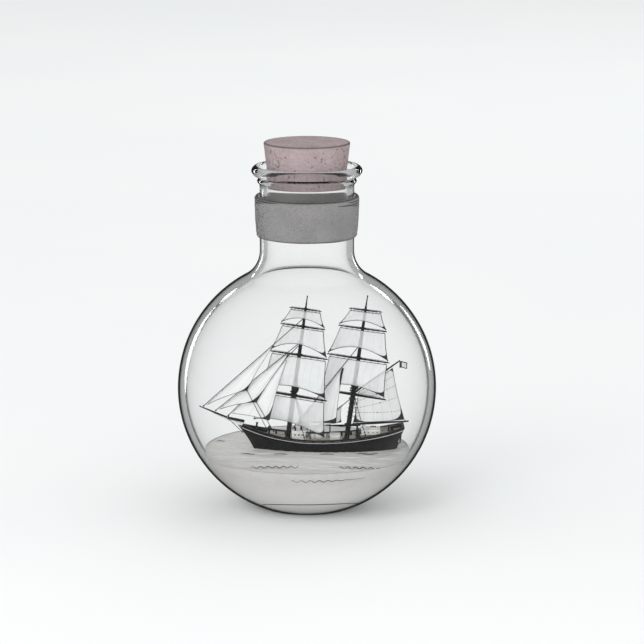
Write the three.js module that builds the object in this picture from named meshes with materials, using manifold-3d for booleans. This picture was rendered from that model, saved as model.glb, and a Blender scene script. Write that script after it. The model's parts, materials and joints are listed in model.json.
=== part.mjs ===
// Ship in a bottle: a two-masted square-rigger on a putty sea inside a round, corked flask.
// Millimetres. +Z is up, the bow points to -X, the port side faces -Y, and the origin is the centre of the
// flask's base. The masts rake aft, and the yards and the spanker's spars turn about them on small loops.
import * as THREE from "three";
import { mergeVertices } from "three/addons/utils/BufferGeometryUtils.js";
import Module from "manifold-3d";

// Flask
const BALL_R = 52.5;
const BASE_R = 18.5;
const WALL = 2.8;
const FLOOR_Z = 3.2;
const NECK_R = 19.1;
const SHOULDER_R = 12;
const MOUTH_Z = 136.4;
const RING_R = 20;
const RING_Z = 133.8;
const LIP_R = 22.4;
const LIP_Z = 138.1;
const TOP_Z = 140.2;
const RECESS_R = 19.2;
const RECESS_Z = 137;
const FLASK_SIDES = 40;

// Neck band and cork
const BAND_LOW_Z = 111.5;
const BAND_HIGH_Z = 127.9;
const BAND_LOW_R = 20.3;
const BAND_HIGH_R = 21.1;
const CORK_TOP_Z = 149.7;
const CORK_TOP_R = 17.4;
const CORK_LOW_Z = 132;
const CORK_LOW_R = 15.4;

// Sea and hull
const GAP = 0.3;
const SEA_Z = 23.1;
const HULL_LOW_Z = 19.6;
const STEM_X = -27.2;
const STERN_X = 39.8;
const STEM_WATER_X = -21.2;
const STERN_WATER_X = 35.9;
const SHEER_LOW_X = 5;
const SHEER_LOW_Z = 27.6;
const SHEER_FORE = 0.0053;
const SHEER_AFT = 0.0041;
const DECK_DROP = 1.7;
const DECK_RISE = 0.8;
const BULWARK_T = 0.7;
const RAIL_T = 0.5;

// Masts: the axis of each passes through (x at deck, z at deck) and rakes aft
const RAKE = THREE.MathUtils.degToRad(7.9);
const FORE_X = -8.1;
const MAIN_X = 16.1;
const MAST_FOOT_Z = 26.8;
const MAST_STEP = 1.25;
const LOWER_MAST_TOP_Z = 50;
const MAST_R = [
  [0, 1.05],
  [20, 0.95],
  [24, 0.9],
  [40, 0.72],
  [50, 0.58],
  [55.5, 0.46],
  [56.5, 0.28],
  [60.5, 0.2],
];

// Yards are braced sharp: starboard arms forward, at this angle to the keel
const BRACE = THREE.MathUtils.degToRad(38);
const SLING_SHIFT = 0.8;
const LOOP_T = 0.44;
const SAIL_T = 0.24;

const UP = new THREE.Vector3(0, 0, 1);
const lerp = THREE.MathUtils.lerp;
const point = (x, y, z) => new THREE.Vector3(x, y, z);

const wasm = await Module();
wasm.setup();

function toSolid(geometry) {
  const plain = new THREE.BufferGeometry();
  const flat = geometry.index ? geometry.toNonIndexed() : geometry;
  plain.setAttribute("position", flat.getAttribute("position"));
  const merged = mergeVertices(plain, 1e-4);
  const mesh = new wasm.Mesh({
    numProp: 3,
    vertProperties: new Float32Array(merged.attributes.position.array),
    triVerts: new Uint32Array(merged.index.array),
  });
  return new wasm.Manifold(mesh);
}

function fromSolid(solid) {
  const mesh = solid.getMesh();
  const geometry = new THREE.BufferGeometry();
  geometry.setAttribute("position", new THREE.BufferAttribute(mesh.vertProperties, 3));
  geometry.setIndex(new THREE.BufferAttribute(mesh.triVerts, 1));
  return geometry;
}

const join = (...parts) => fromSolid(parts.map(toSolid).reduce((a, b) => a.add(b)));
const cut = (body, ...tools) =>
  fromSolid(tools.map(toSolid).reduce((a, b) => a.subtract(b), toSolid(body)));

// A solid of revolution about +Z from [radius, z] pairs
function turned(profile, sides) {
  const lathe = new THREE.LatheGeometry(profile.map(([r, z]) => new THREE.Vector2(r, z)), sides);
  return lathe.rotateX(Math.PI / 2);
}

// Stands a shape made along +Z at a point, along a direction
function stand(geometry, at, along) {
  geometry.applyQuaternion(new THREE.Quaternion().setFromUnitVectors(UP, along.clone().normalize()));
  return geometry.translate(at.x, at.y, at.z);
}

// A round bar from a to b, with radii at a, the middle and b
function bar(a, b, radii, sides = 8) {
  const along = b.clone().sub(a);
  const length = along.length();
  const [start, middle, end] = radii;
  const profile = [[0, 0], [start, 0], [middle, length / 2], [end, length], [0, length]];
  return stand(turned(profile, sides), a, along);
}

const thread = (a, b, r = 0.18) => bar(a, b, [r, r, r], 6);

function block(size, at) {
  return new THREE.BoxGeometry(...size).translate(...at);
}

// A smooth height over x through the points of a list
function reading(points) {
  const curve = new THREE.SplineCurve(points.map(([x, y]) => new THREE.Vector2(x, y)));
  const steps = curve.getPoints(160);
  return (x) => {
    const i = steps.findIndex((p, n) => n > 0 && (p.x >= x || n === steps.length - 1));
    const [p, q] = [steps[i - 1], steps[i]];
    return lerp(p.y, q.y, THREE.MathUtils.clamp((x - p.x) / (q.x - p.x), 0, 1));
  };
}

// Points of an arc of a circle centred at (r, z), between two angles from the r axis
function arc([r, z], radius, from, to, steps) {
  return Array.from({ length: steps + 1 }, (_, i) => {
    const angle = lerp(from, to, i / steps);
    return [r + radius * Math.cos(angle), z + radius * Math.sin(angle)];
  });
}

// The same closed surface with its faces pointing out
function facingOut(geometry) {
  if (toSolid(geometry).volume() > 0) return geometry;
  return geometry.setIndex(Array.from(geometry.index.array).reverse());
}

// A closed solid through a row of closed sections: each lists its starboard points, then the same to port
function loft(sections) {
  const count = sections[0].length;
  const vertices = sections.flat().flatMap((p) => [p.x, p.y, p.z]);
  const faces = [];
  for (let i = 0; i + 1 < sections.length; i++)
    for (let j = 0; j < count; j++) {
      const [a, b] = [i * count + j, i * count + ((j + 1) % count)];
      faces.push(a, b, a + count, b, b + count, a + count);
    }
  // Each end is closed by strips from starboard to port, so that it follows the sections' own rake
  const last = (sections.length - 1) * count;
  for (let k = 0; k + 1 < count / 2; k++) {
    const [low, high, farHigh, farLow] = [k, k + 1, count - 2 - k, count - 1 - k];
    faces.push(high, low, farLow, high, farLow, farHigh);
    faces.push(...[low, high, farLow, farLow, high, farHigh].map((n) => n + last));
  }
  const geometry = new THREE.BufferGeometry();
  geometry.setAttribute("position", new THREE.Float32BufferAttribute(vertices, 3));
  return facingOut(geometry.setIndex(faces));
}

// A thin closed sheet over surface(a, b), with a and b from 0 to 1
function sheet(surface, across, down, thickness = SAIL_T) {
  const vertices = [];
  const step = 1e-3;
  for (const side of [0.5, -0.5])
    for (let j = 0; j <= down; j++)
      for (let i = 0; i <= across; i++) {
        const [a, b] = [i / across, j / down];
        const along = surface(a + step, b).sub(surface(a - step, b));
        const normal = along.cross(surface(a, b + step).sub(surface(a, b - step))).normalize();
        vertices.push(...surface(a, b).addScaledVector(normal, side * thickness));
      }
  const row = across + 1;
  const layer = row * (down + 1);
  const faces = [];
  for (let j = 0; j < down; j++)
    for (let i = 0; i < across; i++) {
      const k = j * row + i;
      faces.push(k, k + 1, k + row, k + 1, k + row + 1, k + row);
      faces.push(layer + k, layer + k + row, layer + k + 1);
      faces.push(layer + k + 1, layer + k + row, layer + k + row + 1);
    }
  const rim = [];
  for (let i = 0; i < across; i++) rim.push(i);
  for (let j = 0; j < down; j++) rim.push(j * row + across);
  for (let i = across; i > 0; i--) rim.push(down * row + i);
  for (let j = down; j > 0; j--) rim.push(j * row);
  rim.forEach((k, n) => {
    const next = rim[(n + 1) % rim.length];
    faces.push(k, layer + k, next, next, layer + k, layer + next);
  });
  const geometry = new THREE.BufferGeometry();
  geometry.setAttribute("position", new THREE.Float32BufferAttribute(vertices, 3));
  return facingOut(geometry.setIndex(faces));
}

const ship = new THREE.Group();

const finishes = {
  glass: [0xf2f5f5, 0.03, 0],
  band: [0x939192, 0.75, 0],
  cork: [0xa69797, 0.9, 0],
  sea: [0xbfbebc, 0.6, 0],
  hull: [0x17171a, 0.45, 0],
  deck: [0xc9bfae, 0.7, 0],
  white: [0xe9e8e4, 0.5, 0],
  spar: [0x2a2624, 0.5, 0],
  sail: [0xe7e8ea, 0.85, 0],
  thread: [0x1a1a1a, 0.8, 0],
  wire: [0x8c8a84, 0.35, 1],
};

function add(name, finish, geometry) {
  const [color, roughness, metalness] = finishes[finish];
  const mesh = new THREE.Mesh(geometry, new THREE.MeshStandardMaterial({ color, roughness, metalness }));
  mesh.name = name;
  ship.add(mesh);
}

// ---- Flask, band, cork and sea ----

const BALL_Z = Math.sqrt(BALL_R ** 2 - BASE_R ** 2);
const SHOULDER_X = NECK_R + SHOULDER_R;
const SHOULDER = [SHOULDER_X, BALL_Z + Math.sqrt((BALL_R + SHOULDER_R) ** 2 - SHOULDER_X ** 2)];
const SHOULDER_ANGLE = Math.atan2(SHOULDER[1] - BALL_Z, SHOULDER[0]);
const BORE_R = NECK_R - WALL;

// The part of a ball's outline between a height near its foot and the shoulder
function ballArc(radius, lowZ, steps) {
  const foot = Math.asin((lowZ - BALL_Z) / radius);
  return arc([0, BALL_Z], radius, foot, SHOULDER_ANGLE, steps);
}

function flask() {
  const outside = [
    [0, 0],
    ...ballArc(BALL_R, 0, 13),
    ...arc(SHOULDER, SHOULDER_R, SHOULDER_ANGLE - Math.PI, -Math.PI, 4).slice(1),
    [NECK_R, RING_Z - 1.4],
    [RING_R, RING_Z],
    [NECK_R + 0.3, RING_Z + 1.3],
    [LIP_R - 1, LIP_Z - 1.9],
    [LIP_R, LIP_Z],
    [LIP_R - 0.8, TOP_Z - 0.5],
    [LIP_R - 1.6, TOP_Z],
    [NECK_R + 0.6, TOP_Z - 0.4],
    [RECESS_R, RECESS_Z],
  ];
  const inside = [
    [0, FLOOR_Z],
    ...ballArc(BALL_R - WALL, FLOOR_Z, 12),
    ...arc(SHOULDER, SHOULDER_R + WALL, SHOULDER_ANGLE - Math.PI, -Math.PI, 4).slice(1),
    [BORE_R, MOUTH_Z],
  ];
  return turned([...outside, ...inside.reverse()], FLASK_SIDES);
}

function neckBand() {
  const inner = NECK_R + GAP;
  const middle = (BAND_LOW_Z + BAND_HIGH_Z) / 2;
  const profile = [
    [inner, BAND_LOW_Z],
    [BAND_LOW_R, BAND_LOW_Z],
    [(BAND_LOW_R + BAND_HIGH_R) / 2 + 0.1, middle],
    [BAND_HIGH_R, BAND_HIGH_Z],
    [inner, BAND_HIGH_Z],
    [inner, BAND_LOW_Z],
  ];
  return turned(profile, FLASK_SIDES);
}

function cork() {
  const chamfer = 0.6;
  const profile = [
    [0, CORK_LOW_Z],
    [CORK_LOW_R - chamfer, CORK_LOW_Z],
    [CORK_LOW_R, CORK_LOW_Z + chamfer],
    [CORK_TOP_R, CORK_TOP_Z - chamfer],
    [CORK_TOP_R - chamfer, CORK_TOP_Z],
    [0, CORK_TOP_Z],
  ];
  return turned(profile, 32);
}

// ---- Hull ----

const sheer = (x) => SHEER_LOW_Z + (x < SHEER_LOW_X ? SHEER_FORE : SHEER_AFT) * (x - SHEER_LOW_X) ** 2;
const deckTop = (x) => sheer(x) - DECK_DROP + DECK_RISE;

// The hull's half breadth at the rail and at the water, from stem (0) to stern (1)
const deckHalf = reading([
  [0, 0.5],
  [0.05, 2.2],
  [0.12, 4.3],
  [0.22, 6.3],
  [0.36, 7.7],
  [0.52, 8],
  [0.72, 7.7],
  [0.86, 6.9],
  [0.95, 5.5],
  [1, 3.9],
]);
const waterHalf = reading([
  [0, 0.45],
  [0.08, 2],
  [0.2, 4.6],
  [0.36, 6.7],
  [0.55, 7.2],
  [0.75, 6.4],
  [0.9, 4.2],
  [1, 1.8],
]);

// Stations lie closer together towards the ends
const STATIONS = 20;
const stationsAlong = Array.from({ length: STATIONS + 1 }, (_, i) => {
  return (1 - Math.cos((Math.PI * i) / STATIONS)) / 2;
});

// A point of the hull's starboard side: u runs from stem to stern, rise from the water to the rail
function side(u, rise) {
  const railX = lerp(STEM_X, STERN_X, u);
  const x = lerp(lerp(STEM_WATER_X, STERN_WATER_X, u), railX, rise ** 1.15);
  const y = lerp(waterHalf(u), deckHalf(u), rise ** 0.6);
  return point(x, y, lerp(SEA_Z, sheer(railX), rise));
}

function hull() {
  const sections = stationsAlong.map((u) => {
    const foot = side(u, 0);
    const rail = side(u, 1);
    const inner = Math.max(0.1, rail.y - BULWARK_T);
    const innerX = lerp(STEM_X + BULWARK_T, STERN_X - BULWARK_T, u);
    const half = [
      point(foot.x, foot.y, HULL_LOW_Z),
      foot,
      side(u, 0.35),
      side(u, 0.7),
      rail,
      point(innerX, inner, rail.z),
      point(innerX, inner, rail.z - DECK_DROP),
    ];
    const port = half.map((p) => point(p.x, -p.y, p.z)).reverse();
    return [...half, ...port];
  });
  return loft(sections);
}

// The hull's outline at the water, grown by a margin, as a prism between two heights
function waterPrism(margin, lowZ, highZ) {
  const starboard = stationsAlong.map((u) => {
    const x = lerp(STEM_WATER_X - margin, STERN_WATER_X + margin, u);
    return new THREE.Vector2(x, waterHalf(u) + margin);
  });
  const outline = [...starboard, ...starboard.map((p) => new THREE.Vector2(p.x, -p.y)).reverse()];
  const settings = { depth: highZ - lowZ, bevelEnabled: false };
  return new THREE.ExtrudeGeometry(new THREE.Shape(outline), settings).translate(0, 0, lowZ);
}

function sea() {
  const radius = BALL_R - WALL - GAP - 0.1;
  const low = FLOOR_Z + GAP;
  const from = Math.asin((low - BALL_Z) / radius);
  const to = Math.asin((SEA_Z - BALL_Z) / radius);
  const body = turned([[0, low], ...arc([0, BALL_Z], radius, from, to, 6), [0, SEA_Z]], FLASK_SIDES);
  return cut(body, waterPrism(GAP + 0.15, HULL_LOW_Z - GAP, SEA_Z + 1));
}

// A band that follows the deck plan between two stations: its outline from half(u), its height from z(x)
function deckStrip(from, to, half, z, thickness) {
  const sections = Array.from({ length: 17 }, (_, i) => {
    const u = lerp(from, to, i / 16);
    const x = lerp(STEM_X, STERN_X, u);
    const [y, top, low] = [half(u), z(x), z(x) - thickness];
    return [point(x, y, low), point(x, y, top), point(x, -y, top), point(x, -y, low)];
  });
  return loft(sections);
}

function deck() {
  const half = (u) => deckHalf(u) - BULWARK_T - GAP - 0.15;
  const plank = deckStrip(0.05, 0.975, half, deckTop, 0.5);
  const holes = [foreMast, mainMast].map((mast) => bar(mast.at(24), mast.at(32), [1.4, 1.4, 1.4], 12));
  return cut(plank, ...holes);
}

function railCap() {
  const overhang = 0.25;
  const top = (x) => sheer(x) + GAP + RAIL_T;
  const cutTop = (x) => top(x) + 1;
  const innerHalf = (u) => Math.max(0.2, deckHalf(u) - BULWARK_T - GAP);
  const outer = deckStrip(0.012, 0.998, (u) => deckHalf(u) + overhang, top, RAIL_T);
  return cut(outer, deckStrip(0.04, 0.98, innerHalf, cutTop, RAIL_T + 2));
}

// ---- Masts ----

class Mast {
  constructor(footX) {
    this.foot = point(footX, 0, MAST_FOOT_Z);
    this.along = point(Math.sin(RAKE), 0, Math.cos(RAKE));
  }
  at(z) {
    return this.foot.clone().addScaledVector(this.along, (z - this.foot.z) / this.along.z);
  }
  radius(z) {
    const s = (z - this.foot.z) / this.along.z;
    const i = Math.max(1, MAST_R.findIndex(([h]) => h >= s));
    const [[h0, r0], [h1, r1]] = [MAST_R[i - 1], MAST_R[i]];
    return lerp(r0, r1, (s - h0) / (h1 - h0));
  }
  stick(lowZ, highZ) {
    const heights = MAST_R.map(([h]) => this.foot.z + h * this.along.z);
    const stops = [lowZ, ...heights.filter((z) => z > lowZ && z < highZ), highZ];
    const profile = stops.map((z) => [this.radius(z), (z - lowZ) / this.along.z]);
    const length = (highZ - lowZ) / this.along.z;
    return stand(turned([[0, 0], ...profile, [0, length]], 10), this.at(lowZ), this.along);
  }
  // A loop that turns round the mast with a running gap
  loop(z, thickness = LOOP_T) {
    const middle = this.radius(z) + GAP + thickness / 2;
    const ring = new THREE.TorusGeometry(middle, thickness / 2, 5, 14);
    return stand(ring, this.at(z), this.along);
  }
}

const foreMast = new Mast(FORE_X);
const mainMast = new Mast(MAIN_X);
const PIN_Z = MAST_FOOT_Z + 1.8;

function lowerMast(mast) {
  const bore = bar(mast.at(PIN_Z).setY(-3), mast.at(PIN_Z).setY(3), [0.5, 0.5, 0.5]);
  return cut(mast.stick(Math.max(MAST_FOOT_Z, sheer(mast.foot.x) - MAST_STEP), LOWER_MAST_TOP_Z), bore);
}

// The wire that the mast folds on: a staple with its crown through the mast's foot
function hingePin(mast) {
  const crown = mast.at(PIN_Z);
  const low = deckTop(crown.x) + GAP;
  const legs = [-2, 2].map((y) => thread(crown.clone().setY(y), point(crown.x, y, low), 0.22));
  return join(thread(crown.clone().setY(-2.2), crown.clone().setY(2.2), 0.22), ...legs);
}

function mastTop(mast, lowZ, highZ) {
  const length = highZ - lowZ;
  const profile = [[0, 0], [1.35, 0], [1.6, length - 0.6], [1.6, length], [0, length]];
  const tub = stand(turned(profile, 12), mast.at(lowZ).add(point(0.25, 0, 0)), mast.along);
  const hole = bar(mast.at(lowZ - 1), mast.at(highZ + 1), [1.25, 1.22, 1.2], 12);
  return cut(tub, hole);
}

// ---- Yards and square sails ----

const yardLine = point(Math.cos(BRACE), -Math.sin(BRACE), 0);
const ahead = point(-Math.sin(BRACE), -Math.cos(BRACE), 0);

class Yard {
  constructor(mast, z, length, radius) {
    Object.assign(this, { mast, z, length, radius });
    const standoff = mast.radius(z) + radius + GAP;
    this.centre = mast.at(z).addScaledVector(ahead, standoff).addScaledVector(yardLine, SLING_SHIFT);
  }
  arm(share, drop = 0) {
    return this.centre.clone().addScaledVector(yardLine, (share * this.length) / 2).add(point(0, 0, -drop));
  }
  solid() {
    const tip = this.radius * 0.55;
    return join(bar(this.arm(-1), this.arm(1), [tip, this.radius, tip]), this.mast.loop(this.z));
  }
}

const yards = {
  fore_royal_yard: new Yard(foreMast, 81.3, 16.3, 0.36),
  fore_topgallant_yard: new Yard(foreMast, 74.3, 22.9, 0.42),
  fore_topsail_yard: new Yard(foreMast, 62.6, 29.8, 0.48),
  fore_lower_yard: new Yard(foreMast, 46, 35, 0.6),
  main_royal_yard: new Yard(mainMast, 80.9, 16.4, 0.36),
  main_topgallant_yard: new Yard(mainMast, 73.5, 24.2, 0.42),
  main_topsail_yard: new Yard(mainMast, 61.3, 31.4, 0.48),
  main_lower_yard: new Yard(mainMast, 46.4, 33.6, 0.6),
};

const HEAD_SHARE = 0.93;

// A square sail from its head under a yard to two clews, with an arched foot and a belly that fills ahead
function squareSail(yard, portClew, starboardClew, arch, belly) {
  const drop = yard.radius + GAP + 0.1;
  return sheet((a, b) => {
    const s = 2 * a - 1;
    const head = yard.arm(s * HEAD_SHARE, drop);
    const foot = starboardClew.clone().lerp(portClew, a);
    const p = head.lerp(foot, b);
    const inward = 0.35 * Math.sin(Math.PI * b) * s;
    const fill = belly * Math.max(0, 1 - s ** 2) ** 0.8 * Math.sin(Math.PI * Math.min(1, 0.06 + 0.8 * b));
    p.z += arch * (1 - s ** 2) * b ** 2;
    return p.addScaledVector(yardLine, -inward).addScaledVector(ahead, fill);
  }, 8, 6);
}

// The clews of a sail that is sheeted to the arms of the yard below
function sheeted(upper, lower, arch, belly) {
  const rise = -(lower.radius + 0.45);
  return squareSail(upper, lower.arm(0.95, rise), lower.arm(-0.95, rise), arch, belly);
}

// ---- Fore-and-aft sails ----

// A three-cornered sail: camber fills to port, and the leech is hollowed forward a little
function staysail(tack, head, clew, camber, hollow = 0.5) {
  const luff = tack.clone().sub(head);
  return sheet((a, b) => {
    const t = lerp(0.025, 1, b);
    const p = head.clone().lerp(tack.clone().lerp(clew, a), t);
    p.y -= camber * Math.sin(Math.PI * Math.min(1, a * 0.9)) * Math.sin(Math.PI * (0.08 + 0.72 * t));
    p.x -= hollow * a * Math.sin(Math.PI * t);
    p.z += 0.02 * luff.length() * Math.sin(Math.PI * a) * b ** 3;
    return p;
  }, 6, 8);
}

function spanker(throat, peak, clew, tack, camber) {
  return sheet((a, b) => {
    const p = throat.clone().lerp(peak, a).lerp(tack.clone().lerp(clew, a), b);
    p.y -= camber * Math.sin(Math.PI * a) * Math.sin(Math.PI * (0.12 + 0.7 * b));
    p.x += 0.9 * Math.sin(Math.PI * b) * (0.5 - a);
    return p;
  }, 7, 7);
}

// A thread from a mast, starting a little way off its side, towards a point
function fromMast(mast, z, to, r) {
  const start = mast.at(z);
  const away = to.clone().sub(start);
  const clear = (mast.radius(z) + GAP + 0.1) / Math.hypot(away.x, away.y);
  return thread(start.addScaledVector(away, clear), to, r);
}

// Two pairs of shrouds that hang from one loop under the mast's top
function shrouds(mast, z, feet) {
  const loop = mast.loop(z, 0.5);
  const reach = mast.radius(z) + GAP + 0.25;
  const legs = [-1, 1].flatMap((hand) => feet.map(([x, y, low]) => {
    const foot = point(x, hand * y, low);
    const away = foot.clone().sub(mast.at(z)).setZ(0);
    return thread(mast.at(z).addScaledVector(away, reach / away.length()), foot, 0.13);
  }));
  return join(loop, ...legs);
}

// ---- Assembly ----

add("glass_bottle", "glass", flask());
add("neck_band", "band", neckBand());
add("cork_stopper", "cork", cork());
add("sea", "sea", sea());

add("hull", "hull", hull());
add("deck", "deck", deck());
add("rail_cap", "hull", railCap());

function foreDeckhouse() {
  const floor = deckTop(-1.6) + GAP + 0.5;
  const house = block([5.3, 5.6, 3], [-3.4, 0, floor + 1.5]);
  const roof = block([5.9, 6.2, 0.5], [-3.4, 0, floor + 3.2]);
  const stack = bar(point(-2.4, 0.8, floor + 3), point(-2.4, 0.8, floor + 5.4), [0.4, 0.4, 0.4]);
  const vent = bar(point(-4.8, -1.2, floor + 3), point(-4.8, -1.2, floor + 4.9), [0.45, 0.4, 0.5]);
  return join(house, roof, stack, vent);
}

function windlass() {
  const z = deckTop(-15.5) + 1.2;
  const drum = bar(point(-15.5, -2.6, z + 1.1), point(-15.5, 2.6, z + 1.1), [0.5, 0.85, 0.5]);
  const bitts = [-1.7, 1.7].map((y) => block([0.8, 0.6, 2.6], [-15.5, y, z + 0.9]));
  return join(drum, ...bitts);
}

function catheads() {
  const z = sheer(-20.6) + GAP + RAIL_T + 0.75;
  const beam = block([0.8, 12.6, 0.7], [-20.6, 0, z]);
  const bitts = [-2.2, 2.2].map((y) => block([0.7, 0.7, 2.2], [-20.6, y, z]));
  return join(beam, ...bitts);
}

function longboat() {
  const half = reading([[0, 0.15], [0.2, 1.2], [0.5, 1.7], [0.85, 1.4], [1, 0.9]]);
  const sections = Array.from({ length: 9 }, (_, i) => {
    const u = i / 8;
    const x = lerp(1.6, 7.6, u);
    const [y, low] = [half(u), deckTop(4.6) + GAP + 0.4];
    const top = low + 1.5 + 1.4 * (u - 0.55) ** 2;
    return [[0.45, low], [0.9, low + 0.6], [1, top], [-1, top], [-0.9, low + 0.6], [-0.45, low]]
      .map(([share, z]) => point(x, share * y, z));
  });
  return loft(sections);
}

function mainHatch() {
  const floor = deckTop(13.4) + GAP;
  return join(block([4, 4.4, 1.9], [11.4, 0, floor + 1]), block([4.5, 4.9, 0.4], [11.4, 0, floor + 2]));
}

function spareSpar() {
  const [y, z] = [4.2, 32];
  const crutches = [9.4, 20.4].map((x) => {
    const floor = deckTop(x) + GAP;
    return block([0.5, 0.9, z - floor], [x, y, (z + floor) / 2]);
  });
  return join(bar(point(7.8, y, z), point(22, y, z), [0.25, 0.42, 0.25]), ...crutches);
}

function aftCabin() {
  const floor = deckTop(29.5) + GAP + 0.3;
  const house = block([7.4, 6.4, 1.7], [26, 0, floor + 0.85]);
  const roof = block([7.9, 7, 0.4], [26, 0, floor + 1.9]);
  const skylight = block([2.6, 2.2, 0.9], [27, 0, floor + 2.4]);
  return join(house, roof, skylight);
}

function steeringWheel() {
  const [x, floor] = [33.4, deckTop(35.4) + GAP];
  const middle = point(x, 0, floor + 1.4);
  const wheel = new THREE.TorusGeometry(0.95, 0.16, 5, 12).rotateY(Math.PI / 2).translate(...middle);
  const hub = bar(middle.clone().setX(x - 0.3), middle.clone().setX(x + 1.5), [0.3, 0.3, 0.3]);
  const spokes = [0, 1, 2].map((k) => {
    const angle = (k * Math.PI) / 3;
    const arm = point(0, 0.95 * Math.cos(angle), 0.95 * Math.sin(angle));
    return bar(middle.clone().sub(arm), middle.clone().add(arm), [0.14, 0.14, 0.14], 5);
  });
  return join(wheel, hub, block([1.1, 1.3, 2], [x + 1.4, 0, floor + 1]), ...spokes);
}

function capstan() {
  const profile = [[0, 0], [1.1, 0], [0.6, 0.9], [0.65, 1.5], [1.05, 1.9], [0.9, 2.3], [0, 2.4]];
  return turned(profile, 10).translate(20.9, 0, deckTop(20.9) + GAP);
}

add("fore_deckhouse", "white", foreDeckhouse());
add("windlass", "spar", windlass());
add("catheads", "hull", catheads());
add("longboat", "white", longboat());
add("main_hatch", "white", mainHatch());
add("spare_spar", "spar", spareSpar());
add("capstan", "spar", capstan());
add("aft_cabin", "white", aftCabin());
add("steering_wheel", "spar", steeringWheel());

// The bowsprit's line rises forward from the stem; the jibboom carries on from its end
const STEM_HEAD = point(STEM_X + 1.6, 0, sheer(STEM_X) + 1.6);
const BOWSPRIT_END = point(-32.4, 0, 36.2);
const BOOM_TIP = point(-43.9, 0, 41);
add("bowsprit", "spar", bar(STEM_HEAD, BOWSPRIT_END, [0.6, 0.58, 0.48]));
const boomLine = BOOM_TIP.clone().sub(BOWSPRIT_END).normalize();
const jibboomHeel = BOWSPRIT_END.clone().addScaledVector(boomLine, GAP + 0.3);
add("jibboom", "spar", bar(jibboomHeel, BOOM_TIP, [0.45, 0.36, 0.2]));

for (const [name, mast] of [["fore", foreMast], ["main", mainMast]]) {
  add(name + "_lower_mast", "spar", lowerMast(mast));
  add(name + "_topmast", "spar", mast.stick(LOWER_MAST_TOP_Z + GAP, 86.5));
  add(name + "_hinge_pin", "wire", hingePin(mast));
}
add("fore_top", "spar", mastTop(foreMast, 47, 49.4));
add("main_top", "spar", mastTop(mainMast, 48.4, 49.8));

for (const [name, yard] of Object.entries(yards)) add(name, "spar", yard.solid());

const foreCourse = [point(7, -12, 30.8), point(-22, 11.2, 33.2)];
add("fore_royal", "sail", sheeted(yards.fore_royal_yard, yards.fore_topgallant_yard, 2.6, 1.1));
add("fore_topgallant", "sail", sheeted(yards.fore_topgallant_yard, yards.fore_topsail_yard, 3.8, 1.8));
add("fore_topsail", "sail", sheeted(yards.fore_topsail_yard, yards.fore_lower_yard, 3, 2.2));
add("fore_course", "sail", squareSail(yards.fore_lower_yard, ...foreCourse, 3, 2.2));
add("main_royal", "sail", sheeted(yards.main_royal_yard, yards.main_topgallant_yard, 2.4, 1.1));
add("main_topgallant", "sail", sheeted(yards.main_topgallant_yard, yards.main_topsail_yard, 3.8, 1.8));
add("main_topsail", "sail", sheeted(yards.main_topsail_yard, yards.main_lower_yard, 3, 1.9));

// Each stay runs from the bowsprit or the fore mast up to a gap between two square sails
const OUTER_STAY_Z = 77.7;
const INNER_STAY_Z = 67.8;
const FORE_STAY_Z = 67;
const TOPMAST_STAY_Z = 66.9;
const outerFoot = point(-42.3, 0, 41.15);
const innerFoot = point(-37.3, 0, 39.25);
const foreStayFoot = point(-32.2, 0, 37.2);
add("outer_jib_stay", "thread", fromMast(foreMast, OUTER_STAY_Z, outerFoot));
add("inner_jib_stay", "thread", fromMast(foreMast, INNER_STAY_Z, innerFoot));
add("fore_stay", "thread", fromMast(foreMast, FORE_STAY_Z, foreStayFoot));

// A sail set on a stay: its luff runs a little under the stay, between two x
function staySet(mast, z, foot, [tackX, headX], clew, camber) {
  const top = mast.at(z);
  const under = (x) => point(x, 0, lerp(foot.z, top.z, (x - foot.x) / (top.x - foot.x)) - 0.75);
  return staysail(under(tackX), under(headX), clew, camber);
}

const outerClew = point(-24.4, -2.4, 48.3);
const innerClew = point(-20.6, -2.4, 43.4);
const foreClew = point(-15.4, -2.6, 35.8);
add("outer_jib", "sail", staySet(foreMast, OUTER_STAY_Z, outerFoot, [-40.8, -14.4], outerClew, 1.5));
add("inner_jib", "sail", staySet(foreMast, INNER_STAY_Z, innerFoot, [-35.8, -7], innerClew, 1.6));
add("fore_staysail", "sail", staySet(foreMast, FORE_STAY_Z, foreStayFoot, [-30.6, -8.2], foreClew, 1.6));

const fromClew = point(0.2, -0.9, -0.6);
add("outer_jib_sheet", "thread", thread(outerClew.clone().add(fromClew), point(-16.4, -5.6, 32.9), 0.14));
add("inner_jib_sheet", "thread", thread(innerClew.clone().add(fromClew), point(-13.6, -6, 31.9), 0.14));

const mainStayFoot = point(-0.4, 1.2, deckTop(0) + 1.2);
const topmastStayFoot = foreMast.at(31.9).add(point(foreMast.radius(31.9) + GAP + 0.2, 0, 0));
const staysailClew = point(11.8, -2.6, 34.6);
add("main_topmast_stay", "thread", fromMast(mainMast, TOPMAST_STAY_Z, topmastStayFoot));
add("main_stay", "thread", fromMast(mainMast, 45, mainStayFoot));
add(
  "main_topmast_staysail",
  "sail",
  staySet(mainMast, TOPMAST_STAY_Z, topmastStayFoot, [-4, 14.9], staysailClew, 1.4),
);
const [lowTack, lowHead, lowClew] = [point(3, 1.4, 31.6), point(14.2, 0.9, 41.4), point(14, 1.9, 34)];
add("main_staysail", "sail", staysail(lowTack, lowHead, lowClew, 0.5));

const throat = mainMast.at(47.4);
const gaffEnd = point(37.6, 0, 59.9);
const boomHeel = mainMast.at(33.4);
const boomEnd = point(41.3, 0, 34.7);

// A spar that ends in a loop round the mast
function jawedSpar(from, to, z, radii) {
  const heel = from.clone().add(point(mainMast.radius(z) + GAP + 0.15, 0, 0.1));
  return join(bar(heel, to, radii), mainMast.loop(z, 0.5));
}

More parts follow.
